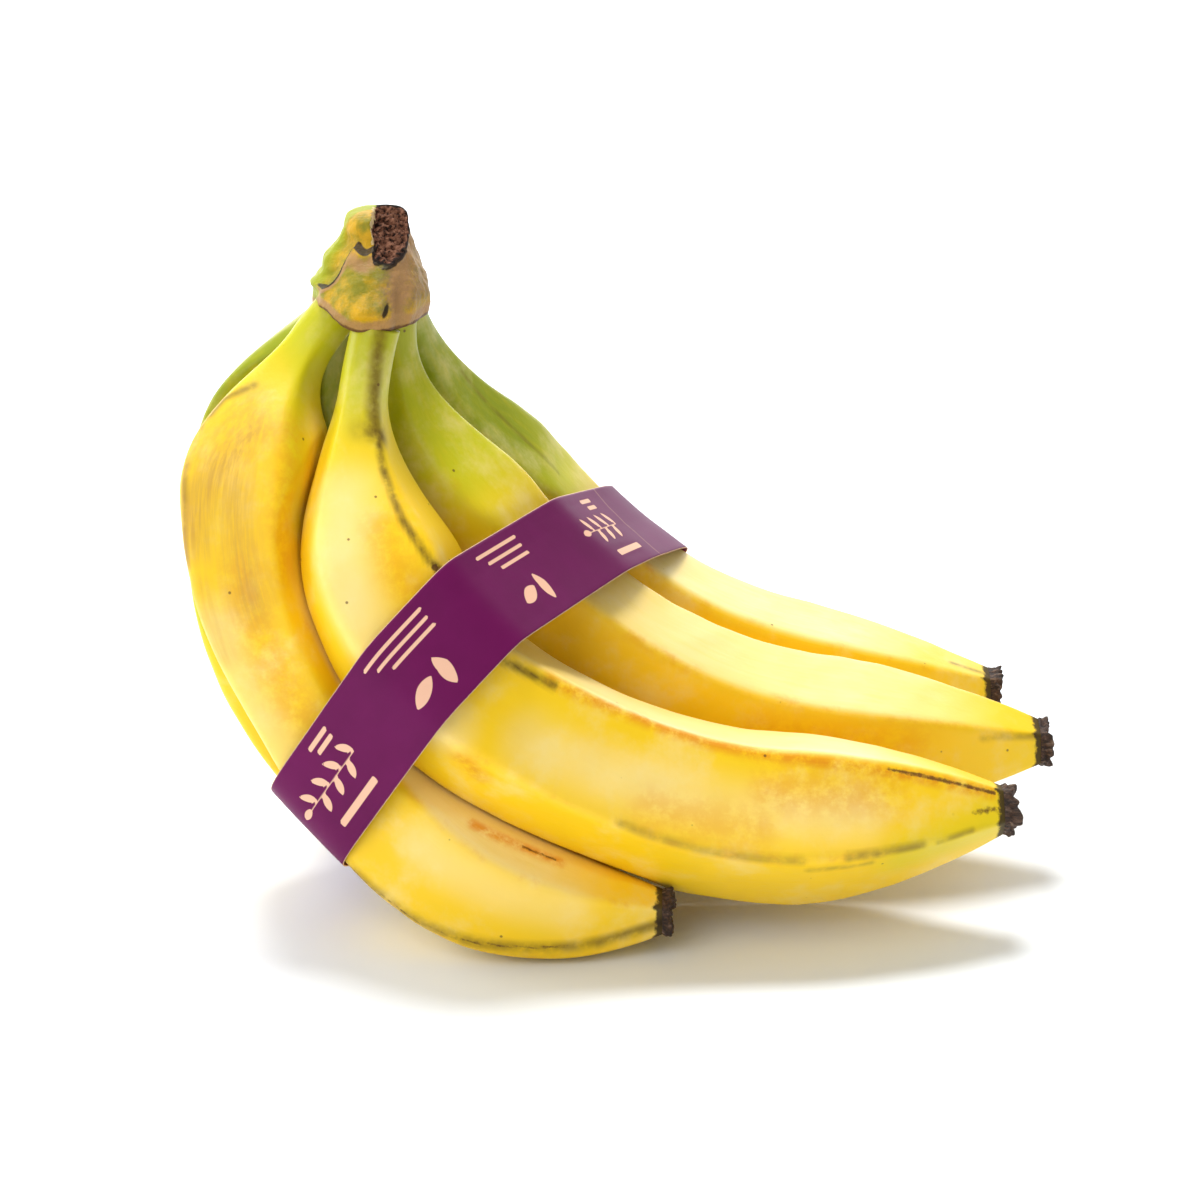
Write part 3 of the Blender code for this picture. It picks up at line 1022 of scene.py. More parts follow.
    def build(self) -> list[Skin]:
        """Grow, press and settle the skins, and make one object for each finger.

        Returns:
            The skins, for the stubs and the band.
        """
        skins = [self.grow(i, finger) for i, finger in enumerate(self.members)]
        self.press(skins)
        self.shift = self.settle(skins)
        LOG.info("fingers shifted by %s mm", np.round(self.shift / MM, 2))
        finishes = {
            "ripe_peel": BananaPeel().material(),
            "green_peel": BananaPeel(
                name="green_necked_banana_peel", yellow="#F7CC14", green="#8E980A", pale="#F8E4A2"
            ).material(),
        }
        for finger, skin in zip(self.members, skins):
            girth = skin.radius.max()
            pair = np.broadcast_arrays(skin.angle[None, :] * girth, skin.distance[:, None])
            uv = np.stack(pair, axis=-1)
            peel = grid_object(
                finger.name.replace("finger", "peel"), skin.rings[:, ::-1], True, True, uv[:, ::-1],
                {name: values[:, ::-1] for name, values in self.fields(finger, skin).items()},
            )
            peel.data.materials.append(finishes[finger.slot])
            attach(peel, "root")
            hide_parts(finger.name)
            LOG.info("%s: %d points", peel.name, len(peel.data.vertices))
        return skins


FRONT_INNER_MARKS = (
    Mark(MarkKind.STAIN, ((6, 14), (19, 27), (30, 33)), 3.0, 0.9),
    Mark(MarkKind.STAIN, ((29, 26), (30, 38)), 4.2, 1.0),
    Mark(MarkKind.STAIN, ((29, 2), (30, 30)), 4.0, 0.35),
    Mark(MarkKind.STAIN, ((31, 34), (38, 33), (51, 37), (62, 46), (68, 58)), 1.5, 1.0),
    Mark(MarkKind.SCAR, ((64, 48), (69, 57)), 1.7, 0.7),
    Mark(MarkKind.STAIN, ((86, 51), (96, 57), (106, 60)), 1.6, 1.0),
    Mark(MarkKind.BLUSH, ((104, 62), (130, 66), (160, 64), (188, 60), (206, 58), (221, 56)), 2.4, 0.9),
    Mark(MarkKind.SCAR, ((197, 61), (208, 59), (222, 57)), 1.0, 0.62),
    Mark(MarkKind.STAIN, ((134, 356), (152, 354), (176, 354)), 1.7, 0.50),
    Mark(MarkKind.STAIN, ((187, 354), (204, 353)), 1.9, 0.70),
    Mark(MarkKind.STAIN, ((178, 345), (192, 344)), 1.6, 0.45),
    Mark(MarkKind.STAIN, ((208, 352), (216, 356)), 1.2, 0.6),
    Mark(MarkKind.BLUSH, ((168, 40), (196, 42)), 10.0, 0.45),
    # Pale haze on the front, partly a painted highlight.
    Mark(MarkKind.BLOOM, ((44, 350), (62, 348), (88, 352)), 12.0, 1.0),
    Mark(MarkKind.BLOOM, ((108, 20), (150, 26), (190, 24)), 11.0, 0.75),
    Mark(MarkKind.BLUSH, ((140, 10), (165, 14)), 9.0, 0.35),
    Mark(MarkKind.BLUSH, ((98, 342), (102, 336)), 5.0, 0.7),
    Mark(MarkKind.BLUSH, ((52, 20), (70, 30)), 8.0, 0.4),
    Mark(MarkKind.UNRIPE, ((200, 338), (219, 345)), 11.0, 0.7),
    Mark(MarkKind.SCAR, ((217, 20), (223, 24)), 2.2, 0.50),
)
FRONT_OUTER_MARKS = (
    Mark(MarkKind.RUB, ((42, 345), (50, 330), (60, 316)), 11.0, 0.85),
    Mark(MarkKind.RUB, ((48, 345), (74, 352)), 10.0, 0.70),
    Mark(MarkKind.RUB, ((36, 328), (50, 310)), 7.0, 0.5),
    Mark(MarkKind.RUB, ((70, 316), (82, 318)), 5.0, 0.45),
    Mark(MarkKind.STAIN, ((33, 316), (37, 300), (46, 303), (55, 308), (66, 308)), 1.8, 0.75),
    Mark(MarkKind.STAIN, ((118, 312), (134, 315), (150, 318), (165, 324), (180, 330), (196, 344)), 2.4, 0.70),
    Mark(MarkKind.SCAR, ((134, 315), (150, 318), (165, 324), (178, 330)), 0.9, 0.5),
    Mark(MarkKind.BLUSH, ((148, 44), (155, 48), (164, 54), (172, 57)), 2.6, 0.9),
    Mark(MarkKind.SCAR, ((162, 53), (171, 57)), 1.1, 0.62),
    Mark(MarkKind.STAIN, ((184, 332), (197, 350)), 2.4, 0.8),
    Mark(MarkKind.BLUSH, ((70, 350), (100, 350)), 11.0, 0.45),
    Mark(MarkKind.BLOOM, ((78, 322), (112, 326)), 9.0, 0.9),
    Mark(MarkKind.BLOOM, ((142, 8), (176, 12)), 10.0, 0.7),
    Mark(MarkKind.BLUSH, ((40, 20), (70, 20)), 7.0, 0.4),
    Mark(MarkKind.UNRIPE, ((8, 20), (26, 350)), 12.0, 0.8),
    Mark(MarkKind.UNRIPE, ((24, 15), (60, 40)), 7.0, 0.7),
)
MIDDLE_INNER_MARKS = (
    Mark(MarkKind.BLUSH, ((150, 20), (190, 24)), 7.0, 0.3),
    Mark(MarkKind.STAIN, ((206, 30), (219, 38)), 1.4, 0.5),
    Mark(MarkKind.UNRIPE, ((60, 330), (92, 340)), 9.0, 0.5),
)
REAR_INNER_MARKS = (
    Mark(MarkKind.STAIN, ((28, 82), (50, 74), (66, 70)), 1.2, 0.5),
    Mark(MarkKind.STAIN, ((196, 76), (206, 72)), 1.6, 0.7),
    Mark(MarkKind.STAIN, ((88, 84), (104, 80)), 1.0, 0.5),
)

FINGERS = (
    Finger("finger_front_inner", (-50.5, 149.5), 227.5, (-109, -81, -42, -22, -1, 2),
           (-16.0, -43.0, -39.0), 1.00, 34.0, 32.0, "ripe_peel", (-0.02, 0.24), (20.0, 42.0), 2.7, 1.22,
           FRONT_INNER_MARKS),
    Finger("finger_middle_inner", (-48.0, 151.0), 224.0, (-103, -66, -44, -24, -4, 2),
           (0.0, 0.0, -1.0), 0.95, 14.0, 28.0, "ripe_peel", (0.04, 0.46), (14.0, 50.0), 2.4, 1.0,
           MIDDLE_INNER_MARKS),
    Finger("finger_rear_inner", (-49.5, 148.5), 209.0, (-80, -66, -46, -28, -8, 2),
           (13.0, 36.5, 36.5), 0.95, 30.0, 20.0, "green_peel", (0.20, 0.58), (8.0, 58.0), 2.8, 1.0,
           REAR_INNER_MARKS),
    Finger("finger_front_outer", (-54.5, 151.0), 200.5, (-144, -106, -68, -53, -21, 1),
           (-4.0, -27.0, -50.0), 0.98, 8.0, 20.0, "ripe_peel", (-0.02, 0.27), (19.0, 34.0), 2.2, 1.0,
           FRONT_OUTER_MARKS),
    Finger("finger_middle_outer", (-57.0, 147.0), 203.5, (-136, -106, -77, -43, -11, 8),
           (4.0, -8.0, -10.0), 0.95, 6.0, 20.0, "green_peel", (0.20, 0.62), (3.0, 40.0)),
    Finger("finger_rear_outer", (-57.0, 149.0), 200.0, (-128, -95, -69, -46, -14, 4),
           (16.0, 28.0, 27.0), 0.95, 6.0, 20.0, "green_peel", (0.24, 0.66)),
)


@dataclass
class Stubs:
    """The dry flower stub at each finger's tip."""

    sunk: float = 1.2  # of it inside the peel, in mm
    spread: float = 6.0  # mm, the radius of the cylinder on which its waves are laid out
    fine: float = 1.9  # mm between fine waves
    coarse: float = 4.2  # mm between coarse waves
    around: int = 96
    rows: int = 34

    def build(self, skins: list[Skin]) -> None:
        """Make one shrivelled, flared plug for each finger.

        Its outline follows the last ring of the peel, flares a little and turns in
        over a hollow end; three crests and fine waves make it ragged.

        Args:
            skins: The settled skins.
        """
        finish = DriedStub().material()
        for number, (finger, skin) in enumerate(zip(FINGERS, skins)):
            end = skin.rings[-1].mean(axis=0)
            ahead = unit(end - skin.rings[-5].mean(axis=0))
            spokes = skin.rings[-1] - end
            spokes = spokes - (spokes @ ahead)[:, None] * ahead
            angle = np.linspace(0.0, TURN, self.around, endpoint=False)
            source = np.linspace(0.0, TURN, len(spokes) + 1)
            spokes = read_points(angle, source, np.concatenate([spokes, spokes[:1]]))
            t = np.linspace(0.0, 1.0, self.rows)
            reach = through((0.90, 1.02, 1.05, 1.07, 0.98, 0.66, 0.16), t)[:, None]
            height = through((-0.4, 0.0, 0.40, 0.80, 1.0, 0.80, 0.55), t)[:, None]
            crest = 0.5 + 0.5 * np.cos(3.0 * angle - 1.3 * number)[None, :] * smooth(t[:, None] / 0.3)
            round_x, round_y = self.spread * np.cos(angle)[None, :], self.spread * np.sin(angle)[None, :]
            level = height * 5.0 + 40.0 * number
            place = np.stack(np.broadcast_arrays(round_x, round_y, level), axis=-1) * MM
            fine = ripple(place, self.fine * MM, 51)
            coarse = ripple(place, self.coarse * MM, 52)
            late = smooth((t[:, None] - 0.12) / 0.3)
            reach = reach * (1.0 + (0.10 * crest - 0.05 + 0.06 * fine + 0.08 * coarse) * late)
            ragged = (0.9 * coarse + 0.55 * fine + 0.9 * crest - 0.5) * smooth((t[:, None] - 0.35) / 0.3)
            lift = (finger.stub * height + ragged) * MM
            lift = np.maximum(lift, -self.sunk * MM)
            rings = end + spokes[None] * reach[..., None] + ahead * lift[..., None]
            rings[..., 2] = np.maximum(rings[..., 2], 0.0)
            raised = 0.5 + 0.5 * fine + 0.3 * (crest - 0.5)
            stub = grid_object(
                finger.name.replace("finger", "stub"), rings[:, ::-1], True, True, None,
                {"grain": place[:, ::-1], "raised": raised[:, ::-1]},
            )
            stub.data.materials.append(finish)
            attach(stub, "root")
            LOG.info("%s: %d points", stub.name, len(stub.data.vertices))


@dataclass(frozen=True)
class Swell:
    """One rise or hollow on the front of the crown, with a bell-shaped section."""

    height: float  # in mm, below zero for a hollow
    middle: tuple[float, float]  # X in mm, and share of the half height
    reach: tuple[float, float]  # the same two ways

    def over(self, x: Array, up: Array) -> Array:
        """Work out its height at places on the crown.

        Args:
            x: X from the crown's middle, in mm.
            up: Shares of the crown's half height.

        Returns:
            The height in mm.
        """
        aside, above = (x - self.middle[0]) / self.reach[0], (up - self.middle[1]) / self.reach[1]
        return self.height * bell(aside, above)


FRONT_SWELLS = (
    Swell(2.4, (0.8, -0.50), (3.6, 0.26)),  # knob over the front inner neck
    Swell(1.3, (9.4, -0.45), (1.3, 0.45)),  # fold beside it
    Swell(-1.3, (6.8, -0.40), (1.3, 0.50)),  # groove between the two
)
WARTS = ((4.90, 0.34), (4.96, -0.20))  # radians round from the front, share of the half height


@dataclass
class CrownSkinGrid:
    """The crown's surface in the making: where each point is, and how it got there."""

    turn: Array  # radians round from the front, counted towards the tips
    left: Array  # the same, from -pi to pi
    out: Array  # share of the oval's size
    up: Array  # share of the half height
    way: Array  # outwards, level
    x: Array  # from the crown's middle, in mm
    y: Array


@dataclass
class Crown:
    """The crown: a lobed knob round the necks, with a cut, fibrous face."""

    around: int = 300
    rows: int = 210
    lean: float = 2.2  # mm that its top stands nearer the tips than its foot
    back: float = 0.8  # mm that the whole of it stands further from the tips
    slim: float = 0.95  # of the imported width
    square: float = 2.4  # power of the oval: 2 is round, more is squarer
    cut_normal: tuple[float, float, float] = (0.20, -0.45, 0.87)
    cut_point: tuple[float, float, float] = (5.0, -13.0, 5.0)  # mm from its middle
    cut_side: float = 0.4  # mm, the X where the cut stops and a leaf of skin stands
    lobe: float = 1.8  # mm that it bulges over a neck
    lobe_reach: float = 0.42  # radians
    wart: float = 2.0  # mm that a wart on its back stands out
    wart_reach: tuple[float, float] = (0.36, 0.22)  # radians, share of the half height
    ledge: float = 1.7  # mm that its upper front is set back
    slit: float = 0.9  # mm deep, the split over the front inner neck
    lip: float = 0.5  # mm that the cut's edge is turned out

    def oval_rings(self, half: Array) -> CrownSkinGrid:
        """Turn a profile round an oval.

        The profile runs from the middle of the underside over the rim and up to
        the top; each ring is a rounded square, and the top is narrower in depth.

        Args:
            half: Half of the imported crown's box, in mm.

        Returns:
            The grid.
        """
        t = np.linspace(0.0, 1.0, self.rows)
        out = through((0.05, 0.50, 0.86, 0.99, 1.00, 0.97, 0.90, 0.80, 0.69, 0.60, 0.54, 0.32, 0.02), t)
        up = through((-0.80, -0.86, -0.98, -0.90, -0.62, -0.30, 0.02, 0.32, 0.62, 0.88, 1.08, 1.17, 1.18), t)
        angle = np.linspace(0.0, TURN, self.around, endpoint=False)
        way = np.stack([np.sin(angle), -np.cos(angle), 0.0 * angle], axis=-1)
        out, up, turn = out[:, None], up[:, None], angle[None, :]
        oval = np.abs(np.sin(turn)) ** self.square + np.abs(np.cos(turn)) ** self.square
        oval = oval ** (-1.0 / self.square)
        x = np.sin(turn) * oval * (self.slim * half[0] * out)
        y = -np.cos(turn) * oval * (half[1] * out * (0.95 - 0.27 * smooth((up - 0.1) / 0.9)))
        return CrownSkinGrid(turn, wrapped(turn), out, up, way, x, y)

    def lobes(self, grid: CrownSkinGrid, centre: Array, shift: Array) -> Array:
        """Bulge the lower crown over each neck.

        Args:
            grid: The crown's grid.
            centre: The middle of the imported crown's box, in mm.
            shift: From the fingers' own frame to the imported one, in metres.

        Returns:
            The bulge in mm.
        """
        lower = smooth((0.45 - grid.up) / 1.0) * smooth((grid.out - 0.4) / 0.4)
        bulge = np.zeros_like(grid.x)
        for finger in FINGERS:
            root = np.array([finger.root[0], finger.side[0]]) + shift[:2] / MM - centre[:2]
            facing = math.atan2(root[0] * 1.7, -root[1])
            apart = wrapped(grid.turn - facing)
            bulge = np.maximum(bulge, self.lobe * bell(apart / self.lobe_reach))
        return bulge * lower

    def build(self, shift: Array) -> None:
        """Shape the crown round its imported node's box.

        Lobes stand over the necks, a ledge and a split mark the front, and what
        lies past the cut plane is brought back to it, but for a leaf of skin.

        Args:
            shift: From the fingers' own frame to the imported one, in metres.
        """
        low, high = (np.array(corner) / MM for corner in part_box("crown"))
        centre, half = 0.5 * (low + high), 0.5 * (high - low)
        grid = self.oval_rings(half)
        x, up, out, left = grid.x, grid.up, grid.out, grid.left
        front = grid.y < 0
        # The split over the front inner neck leans towards the tips as it rises.
        slit = bell((x - 3.9 - 1.6 * (up + 0.5)) / 0.75, (up + 0.46) / 0.22) * front
        # The ledge's line waves a little round the front and falls on the side away from the tips.
        fall = smooth((-0.50 - left) / 0.5)
        ledge_up = 0.62 - 0.85 * fall + 0.05 * np.sin(9.0 * left)
        on_left = smooth((left + 1.25) / 0.25) * smooth((0.22 - left) / 0.15)
        set_back = smooth(0.5 + 0.5 * (up - ledge_up) / 0.04) * on_left * smooth((0.95 - up) / 0.3)
        swell = self.lobes(grid, centre, shift) - self.ledge * set_back - self.slit * slit
        for part in FRONT_SWELLS:
            swell = swell + part.over(x, up) * front
        for facing, level in WARTS:
            aside, above = (grid.turn - facing) / self.wart_reach[0], (up - level) / self.wart_reach[1]
            swell = swell + self.wart * bell(aside, above)
        # The lower rim rises at the front, most of all away from the tips.
        slant = (0.20 + 0.28 * bell((left + 0.85) / 0.45)) * smooth((0.2 - up) / 1.1)
        points = np.stack([x, grid.y, (up + slant) * half[2]], axis=-1)
        rough = ripple(points * MM, 8.0 * MM, 71) * 0.35 + ripple(points * MM, 2.6 * MM, 72) * 0.13
        points = points + grid.way[None] * (swell + rough * smooth(out / 0.5))[..., None]
        points[..., 0] += self.lean * 0.5 * (up + 1.0) - self.back
        points, cut, edge, wall = self.sever(points, grid)
        # A dark crack follows the ledge, and painted shade, a darker tan, lies under it and in the groove.
        line = bell((up - ledge_up) / (0.055 + 0.62 * fall * (1.0 - fall))) * on_left
        # Painted shade, in part: the side towards the tips is laid grey-brown and darker tan.
        tipward_dust_and_shade = smooth((x + 0.5) / 6.0) * smooth((up + 0.9) / 0.7)
        groove_and_ledge_shade = 0.75 * bell((up - ledge_up + 0.20) / 0.17) * on_left + 0.5 * bell((x - 6.8) / 1.4) * front
        fields = {
            "cut": cut,
            "crack": np.maximum(np.maximum(line, 0.9 * slit), 0.85 * edge),
            "rim": bell((up + 0.96) / 0.10) + 0.8 * (out < 0.85) * (up < 0.0),
            # Tan, darker towards the bottom and the tips as partly painted shade, and as painted shade in the
            # groove and under the ledge.
            "low": smooth((-0.50 - up) / 0.40) + 0.50 * tipward_dust_and_shade + groove_and_ledge_shade,
            "green": 0.9 * smooth((-0.95 - left) / 0.25) + 0.6 * smooth((np.abs(left) - 1.9) / 0.5),
            "grey": tipward_dust_and_shade,
            "cream": 1.8 * wall,
        }
        crown = grid_object(
            "crown_skin", (points + centre) * MM, True, True, None,
            {name: np.clip(values + 0.0 * x, 0.0, 1.0) for name, values in fields.items()},
        )
        crown.data.materials.append(CrownSkin().material())
        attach(crown, "root")
        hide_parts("crown")
        LOG.info("%s: %d points", crown.name, len(crown.data.vertices))

    def sever(self, points: Array, grid: CrownSkinGrid) -> tuple[Array, Array, Array, Array]:
        """Bring back what lies past the cut plane, in torn fibres.

        How far a point is past the plane is unevened by ripples; the part of the
        crown beyond cut_side keeps its height and stands as a leaf of skin.

        Args:
            points: The crown's points from its middle, in mm.
            grid: The crown's grid.

        Returns:
            The points, and how much each is in the cut face, on its edge, and on
            the inside of the leaf.
        """
        normal = unit(np.array(self.cut_normal))
        past = (points - np.array(self.cut_point)) @ normal
        torn = ripple(points * MM, 1.4 * MM, 73) * 0.55 + ripple(points * MM, 3.4 * MM, 74) * 0.85
        past = past - torn * smooth((past + 0.5) / 1.5)
        inside = smooth((points[..., 0] - self.cut_side + 0.4 * torn) / 1.5)
        wall = (inside > 0.02) * (1.0 - smooth((inside - 0.45) / 0.3)) * smooth((past - 0.3) / 0.5)
        cut = smooth((past + 0.25) / 0.5) * smooth((inside - 0.5) / 0.3)
        points = points - normal * (np.maximum(past, 0.0) * inside)[..., None]
        edge = bell(past / 0.45) * smooth((inside - 0.4) / 0.3)
        points = points + grid.way[None] * (self.lip * edge * smooth(grid.out / 0.4))[..., None]
        return points, cut, edge, wall


@dataclass(frozen=True)
class Bar:
    """A printed bar: a box with rounded corners, in mm from its print's middle."""

    x: float
    y: float
    wide: float
    tall: float
    corner: float = 0.3

    def distance(self, u: Array, v: Array) -> Array:
        """Measure how far places are from the bar.

        Args:
            u: Along the strip from the print's middle, in mm.
            v: Across the strip from its middle, in mm.

        Returns:
            Signed distances in mm, below zero inside.
        """
        dx = np.abs(u - self.x) - 0.5 * self.wide + self.corner
        dy = np.abs(v - self.y) - 0.5 * self.tall + self.corner
        outside = np.hypot(np.maximum(dx, 0.0), np.maximum(dy, 0.0))
        return outside + np.minimum(np.maximum(dx, dy), 0.0) - self.corner


@dataclass(frozen=True)
class Leaf:
    """A printed leaf: where two equal discs overlap, in mm from its print's middle."""

    x: float
    y: float
    long: float
    slim: float
    turn: float  # degrees

    def distance(self, u: Array, v: Array) -> Array:
        """Measure how far places are from the leaf.

        Args:
            u: Along the strip from the print's middle, in mm.
            v: Across the strip from its middle, in mm.

        Returns:
            Signed distances in mm, below zero inside.
        """
        turn = math.radians(self.turn)
        a = (u - self.x) * math.cos(turn) + (v - self.y) * math.sin(turn)
        b = -(u - self.x) * math.sin(turn) + (v - self.y) * math.cos(turn)
        radius = (self.long**2 / 4.0 + self.slim**2 / 4.0) / self.slim
        apart = radius - 0.5 * self.slim
        return np.maximum(np.hypot(a, b - apart), np.hypot(a, b + apart)) - radius


SPRIG = (
    Bar(-5.5, -9.0, 8.0, 1.1),
    Bar(-6.3, -6.9, 6.4, 1.1),
    Bar(0.0, -0.8, 21.0, 0.45),  # stalk
    *(Leaf(-9.0 + 2.9 * k, 1.3, 5.0, 1.9, 52.0) for k in (1, 3, 5)),
    *(Leaf(-9.0 + 2.9 * k, -2.9, 5.0, 1.9, -52.0) for k in (0, 2, 4, 6)),
    Leaf(12.2, -0.8, 4.4, 1.8, 0.0),
    Bar(-1.0, 7.0, 16.0, 1.7),
)
LINES = (
    *(Bar(-1.5 * k, -9.0 + 2.3 * k, 20.0 - 3.0 * k, 0.8) for k in range(3)),
    *(Leaf(-3.6 + 7.2 * k, 4.2, 8.0, 3.4, 90.0 - 70.0 * k) for k in range(2)),
)


@dataclass
class Band:
    """The paper strip, taut round the fingers, glued where its ends overlap."""

    width: float = 24.0  # in mm
    thickness: float = 0.22  # two plies of paper, in mm
    gap: float = 0.75  # from the skins, in mm
    bend: float = 2.6  # mm, the reach of the paper's stiffness either way
    seam: tuple[float, float, float] = (-0.2, 0.7, -0.7)  # towards where its ends meet
    axis: tuple[float, float, float] = (0.74, -0.36, -0.57)  # that it goes round
    share: float = 0.40  # along the middle inner finger, where its middle lies
    overlap: float = 14.0  # of its ends, in mm
    rise: float = 5.0  # mm over which its far end climbs on the near one
    glue: float = 0.08  # between the ends, in mm
    crease_highlight: tuple[float, float, float] = (0.30, 0.25, 0.7)  # share round, lean, width in mm of the painted highlight along the crease
    tight: float = 0.55  # share by which a slice keeps to the tightest loop
    stations: int = 9
    directions: int = 720
    rows: int = 41
    columns: int = 780
    sprigs: tuple[float, ...] = (0.345, 0.685)  # shares of the way round
    lines: tuple[float, ...] = (0.475, 0.585)  # shares of the way round

    def reaches(self, held: Array, offset: Array, ways: Array) -> Array:
        """Support of the skins in each direction, for slices across the strip.

        A slice counts the points within its own step and a half of it, and is
        then drawn towards the tightest loop round all slices, as paper that
        bends only one way is.

        Args:
            held: Points of the skins from the strip's middle, in metres.
            offset: Their places along the axis, in mm.
            ways: Directions to measure in.

        Returns:
            Reaches in metres, by slice and direction.
        """
        steps = np.linspace(-0.5, 0.5, self.stations) * self.width
        near = 1.5 * self.width / (self.stations - 1)
        local = np.stack([
            (held[np.abs(offset - step) < near] @ ways.T).max(axis=0) for step in steps
        ])
        return (1.0 - self.tight) * local + self.tight * local.max(axis=0, keepdims=True)

    def relax(self, loop: Array) -> Array:
        """Round the corners of a closed loop, as stiff paper does.

        The loop is blurred by a bell-shaped weight through its Fourier series.

        Args:
            loop: Points at equal steps, in mm.

        Returns:
            The rounded loop.
        """
        series = np.fft.rfft(loop, axis=0)
        order = np.arange(len(series))[:, None]
        around = np.linalg.norm(np.diff(loop, axis=0), axis=1).sum()
        blur = np.exp(-0.5 * (TURN * order * self.bend / around) ** 2)
        return np.fft.irfft(series * blur, n=len(loop), axis=0)

    def walk_round(self, a: Array, b: Array) -> tuple[Array, Array]:
        """Walk one slice's taut loop once round and on over the overlap.

        Args:
            a: First coordinate of the loop's corners, in mm.
            b: Second coordinate.

        Returns:
            Points at equal steps, and how far each is along the strip, in mm.
        """
        corners = np.stack([np.append(a, a[0]), np.append(b, b[0])], axis=1)
        steps = np.hypot(np.diff(corners[:, 0]), np.diff(corners[:, 1]))
        walked = np.concatenate(([0.0], np.cumsum(steps)))
        total = walked[-1]
        even = np.linspace(0.0, total, self.columns + 1)
        taut = self.relax(read_points(even[:-1], walked, corners))
        walk = np.linspace(0.0, total + self.overlap, self.columns)
        return read_points(walk % total, even, np.concatenate([taut, taut[:1]])), walk

    def marks(self, walk: Array, across: Array, length: float) -> Array:
        """Measure how far places are from the nearest printed mark.

        The marks are plain bars and sprigs of pointed leaves, with no lettering.

        Args:
            walk: Places along the strip, in mm.
            across: Places across it, in mm.
            length: Once round the strip, in mm.

        Returns:
            Signed distances in mm, below zero inside a mark.
        """
        distances = [
            mark.distance(walk - share * length, across)
            for shares, print_marks in ((self.sprigs, SPRIG), (self.lines, LINES))
            for share in shares
            for mark in print_marks
        ]
        return np.minimum(np.min(distances, axis=0), 50.0)

    def build(self, skins: list[Skin]) -> None:
        """Wrap the strip.

        For each slice, the lines that touch the outermost skin in all directions
        cross at the corners of a taut loop, which is walked in equal steps; the
        far end lies on top of the near one.

        Args:
            skins: The pressed fingers.
        """
        axis = unit(np.array(self.axis))
        first = unit(np.cross(axis, np.array([0.0, 1.0, 0.0])))
        second = np.cross(axis, first)
        line = skins[1]
        middle = read_points(self.share * FINGERS[1].length * MM, line.distance, line.middle)
        held = np.concatenate([each.rings.reshape(-1, 3) for each in skins]) - middle
        seam = np.array(self.seam)
        begin = math.atan2(seam @ second, seam @ first)
        turn = begin + np.linspace(0.0, TURN, self.directions + 1)[:-1]
        ways = np.cos(turn)[:, None] * first + np.sin(turn)[:, None] * second
        reach = self.reaches(held, held @ axis / MM, ways) / MM + self.gap + self.thickness
        share = np.linspace(0.0, 1.0, self.rows)
        reach = read_points(share * (self.stations - 1), np.arange(self.stations), reach)
        step = turn[1] - turn[0]
        ahead = np.roll(reach, -1, axis=1)
        u = (reach * np.sin(turn + step) - ahead * np.sin(turn)) / math.sin(step)
        v = (ahead * np.cos(turn) - reach * np.cos(turn + step)) / math.sin(step)
        flat, walk = (np.stack(each) for each in zip(*(self.walk_round(a, b) for a, b in zip(u, v))))
        length = walk[:, -1].mean() - self.overlap
        over = smooth((walk - length + self.rise) / self.rise) * (self.thickness + self.glue)
        flat = flat + unit(flat) * over[..., None]
        across = (share[:, None] - 0.5) * self.width + 0.0 * walk
        points = flat[..., 0:1] * first + flat[..., 1:2] * second + across[..., None] * axis
        place, lean, fine = self.crease_highlight
        fields = {
            "print": self.marks(walk, across, length),
            "edge": 0.5 * self.width - np.abs(across),
            "crease_highlight": bell((walk - place * length - lean * across) / fine),
        }
        uv = np.stack([walk, across], axis=-1) * MM
        strip = grid_object("paper_strip", points * MM + middle, False, False, uv, fields)
        strip.data.materials.append(PrintedPaper().material())
        wall = strip.modifiers.new("paper", "SOLIDIFY")
        wall.thickness = self.thickness * MM
        wall.offset = -1.0
        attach(strip, "root")
        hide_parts("paper_band")
        LOG.info("%s: %.0f mm round", strip.name, length)


# The studio.


@dataclass(frozen=True)
class Lamp:
    """A square soft light."""

    name: str
    place: tuple[float, float, float]  # in metres
    size: float  # its side, in metres
    power: float  # in watts


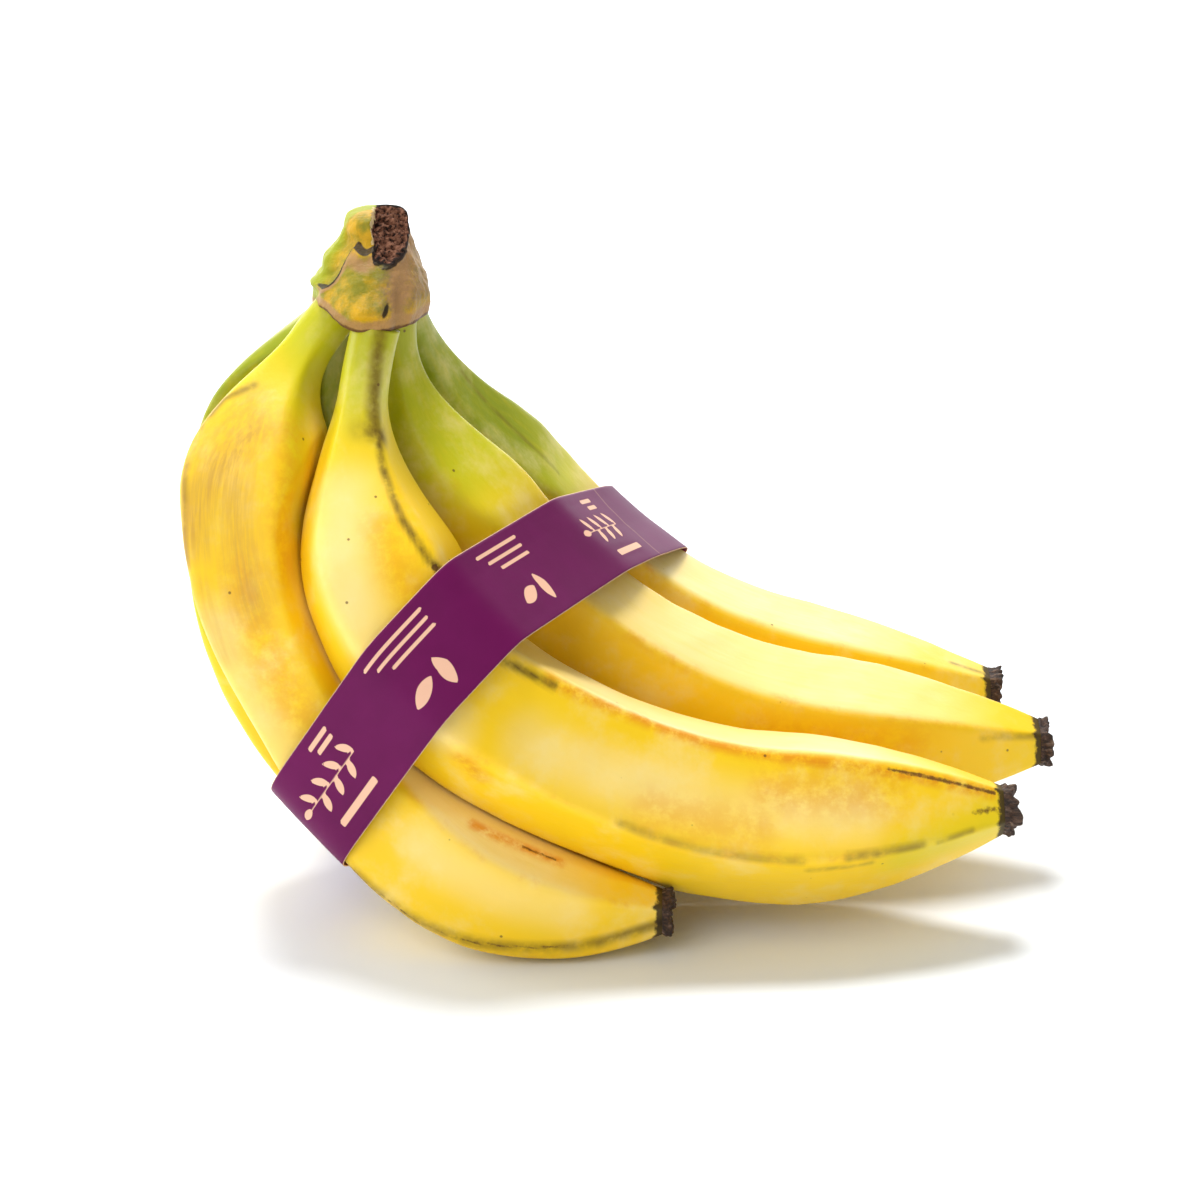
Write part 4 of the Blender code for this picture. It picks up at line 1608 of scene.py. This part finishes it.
@dataclass(frozen=True)
class Studio:
    """A white sweep, soft light from above and behind, and the camera."""

    aim: tuple[float, float, float] = (-0.0051, 0.0044, 0.0663)
    elevation: float = 20.0  # degrees
    distance: float = 0.80
    lens: float = 100.0  # mm, on a 36 mm sensor
    sky: float = 0.42
    sun: float = 2.7
    sun_width: float = 20.0  # degrees
    sun_way: tuple[float, float, float] = (0.10, -0.30, -0.95)
    floor_half: float = 30.0  # metres
    floor_drop: float = 0.0002  # metres that the floor lies under the fruit
    lamp_aim: tuple[float, float, float] = (0.0, 0.0, 0.06)
    lamps: tuple[Lamp, ...] = (
        Lamp("back", (-0.10, 0.95, 0.42), 1.1, 9.0),
        Lamp("side", (-0.95, 0.30, 0.50), 0.6, 5.0),
        Lamp("fill", (-0.60, -0.9, 0.80), 0.9, 6.0),
    )

    def place(self, name: str, data: object, position: tuple, way: Vector) -> bpy.types.Object:
        """Put a light or a camera into the scene.

        Args:
            name: Its name.
            data: The light or the camera.
            position: Where it stands, in metres.
            way: The direction in which it looks.

        Returns:
            The object.
        """
        stand = bpy.data.objects.new(name, data)
        stand.location = position
        stand.rotation_euler = way.to_track_quat("-Z", "Y").to_euler()
        bpy.context.scene.collection.objects.link(stand)
        return stand

    def sweep(self) -> None:
        """Lay the white floor and light it from the whole sky."""
        half, level = self.floor_half, -self.floor_drop
        ends = np.array([-half, half])
        x, y = np.meshgrid(ends, ends)
        floor = grid_object("floor", np.stack([x, y, 0.0 * x + level], axis=-1), False, False)
        paint = Surface("matt_white_sweep", "#ECF2F8")
        paint.lay("#F0F5FA", paint.cloud(0.5))
        floor.data.materials.append(paint.finish(Roughness=0.9))
        floor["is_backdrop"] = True
        world = bpy.data.worlds.new("studio")
        world.use_nodes = True
        world.node_tree.nodes["Background"].inputs["Color"].default_value = linear("#FFFFFF")
        world.node_tree.nodes["Background"].inputs["Strength"].default_value = self.sky
        bpy.context.scene.world = world

    def build(self) -> None:
        """Lay the floor, hang the lights and set the camera."""
        self.sweep()
        sun = bpy.data.lights.new("key", "SUN")
        sun.energy = self.sun
        sun.angle = math.radians(self.sun_width)
        self.place("key", sun, (0.0, 0.0, 0.0), Vector(self.sun_way))
        for lamp in self.lamps:
            light = bpy.data.lights.new(lamp.name, "AREA")
            light.size = lamp.size
            light.energy = lamp.power
            self.place(lamp.name, light, lamp.place, Vector(self.lamp_aim) - Vector(lamp.place))
        lens = bpy.data.cameras.new("camera")
        lens.lens = self.lens
        rise = math.radians(self.elevation)
        back = Vector((0.0, -math.cos(rise), math.sin(rise))) * self.distance
        bpy.context.scene.camera = self.place("camera", lens, Vector(self.aim) + back, -back)
        bpy.context.scene.view_settings.view_transform = "Standard"


def corners() -> list[list[float]]:
    """Lowest and highest corner of what shows, as plain lists."""
    return [[float(value) for value in corner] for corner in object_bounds()]


def main() -> None:
    """Build every piece in order."""
    logging.basicConfig(level=logging.INFO, format="%(name)s: %(message)s")
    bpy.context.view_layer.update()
    Studio().build()
    fingers = Fingers()
    skins = fingers.build()
    Stubs().build(skins)
    Crown().build(fingers.shift)
    Band().build(skins)


if __name__ == "__main__":
    main()
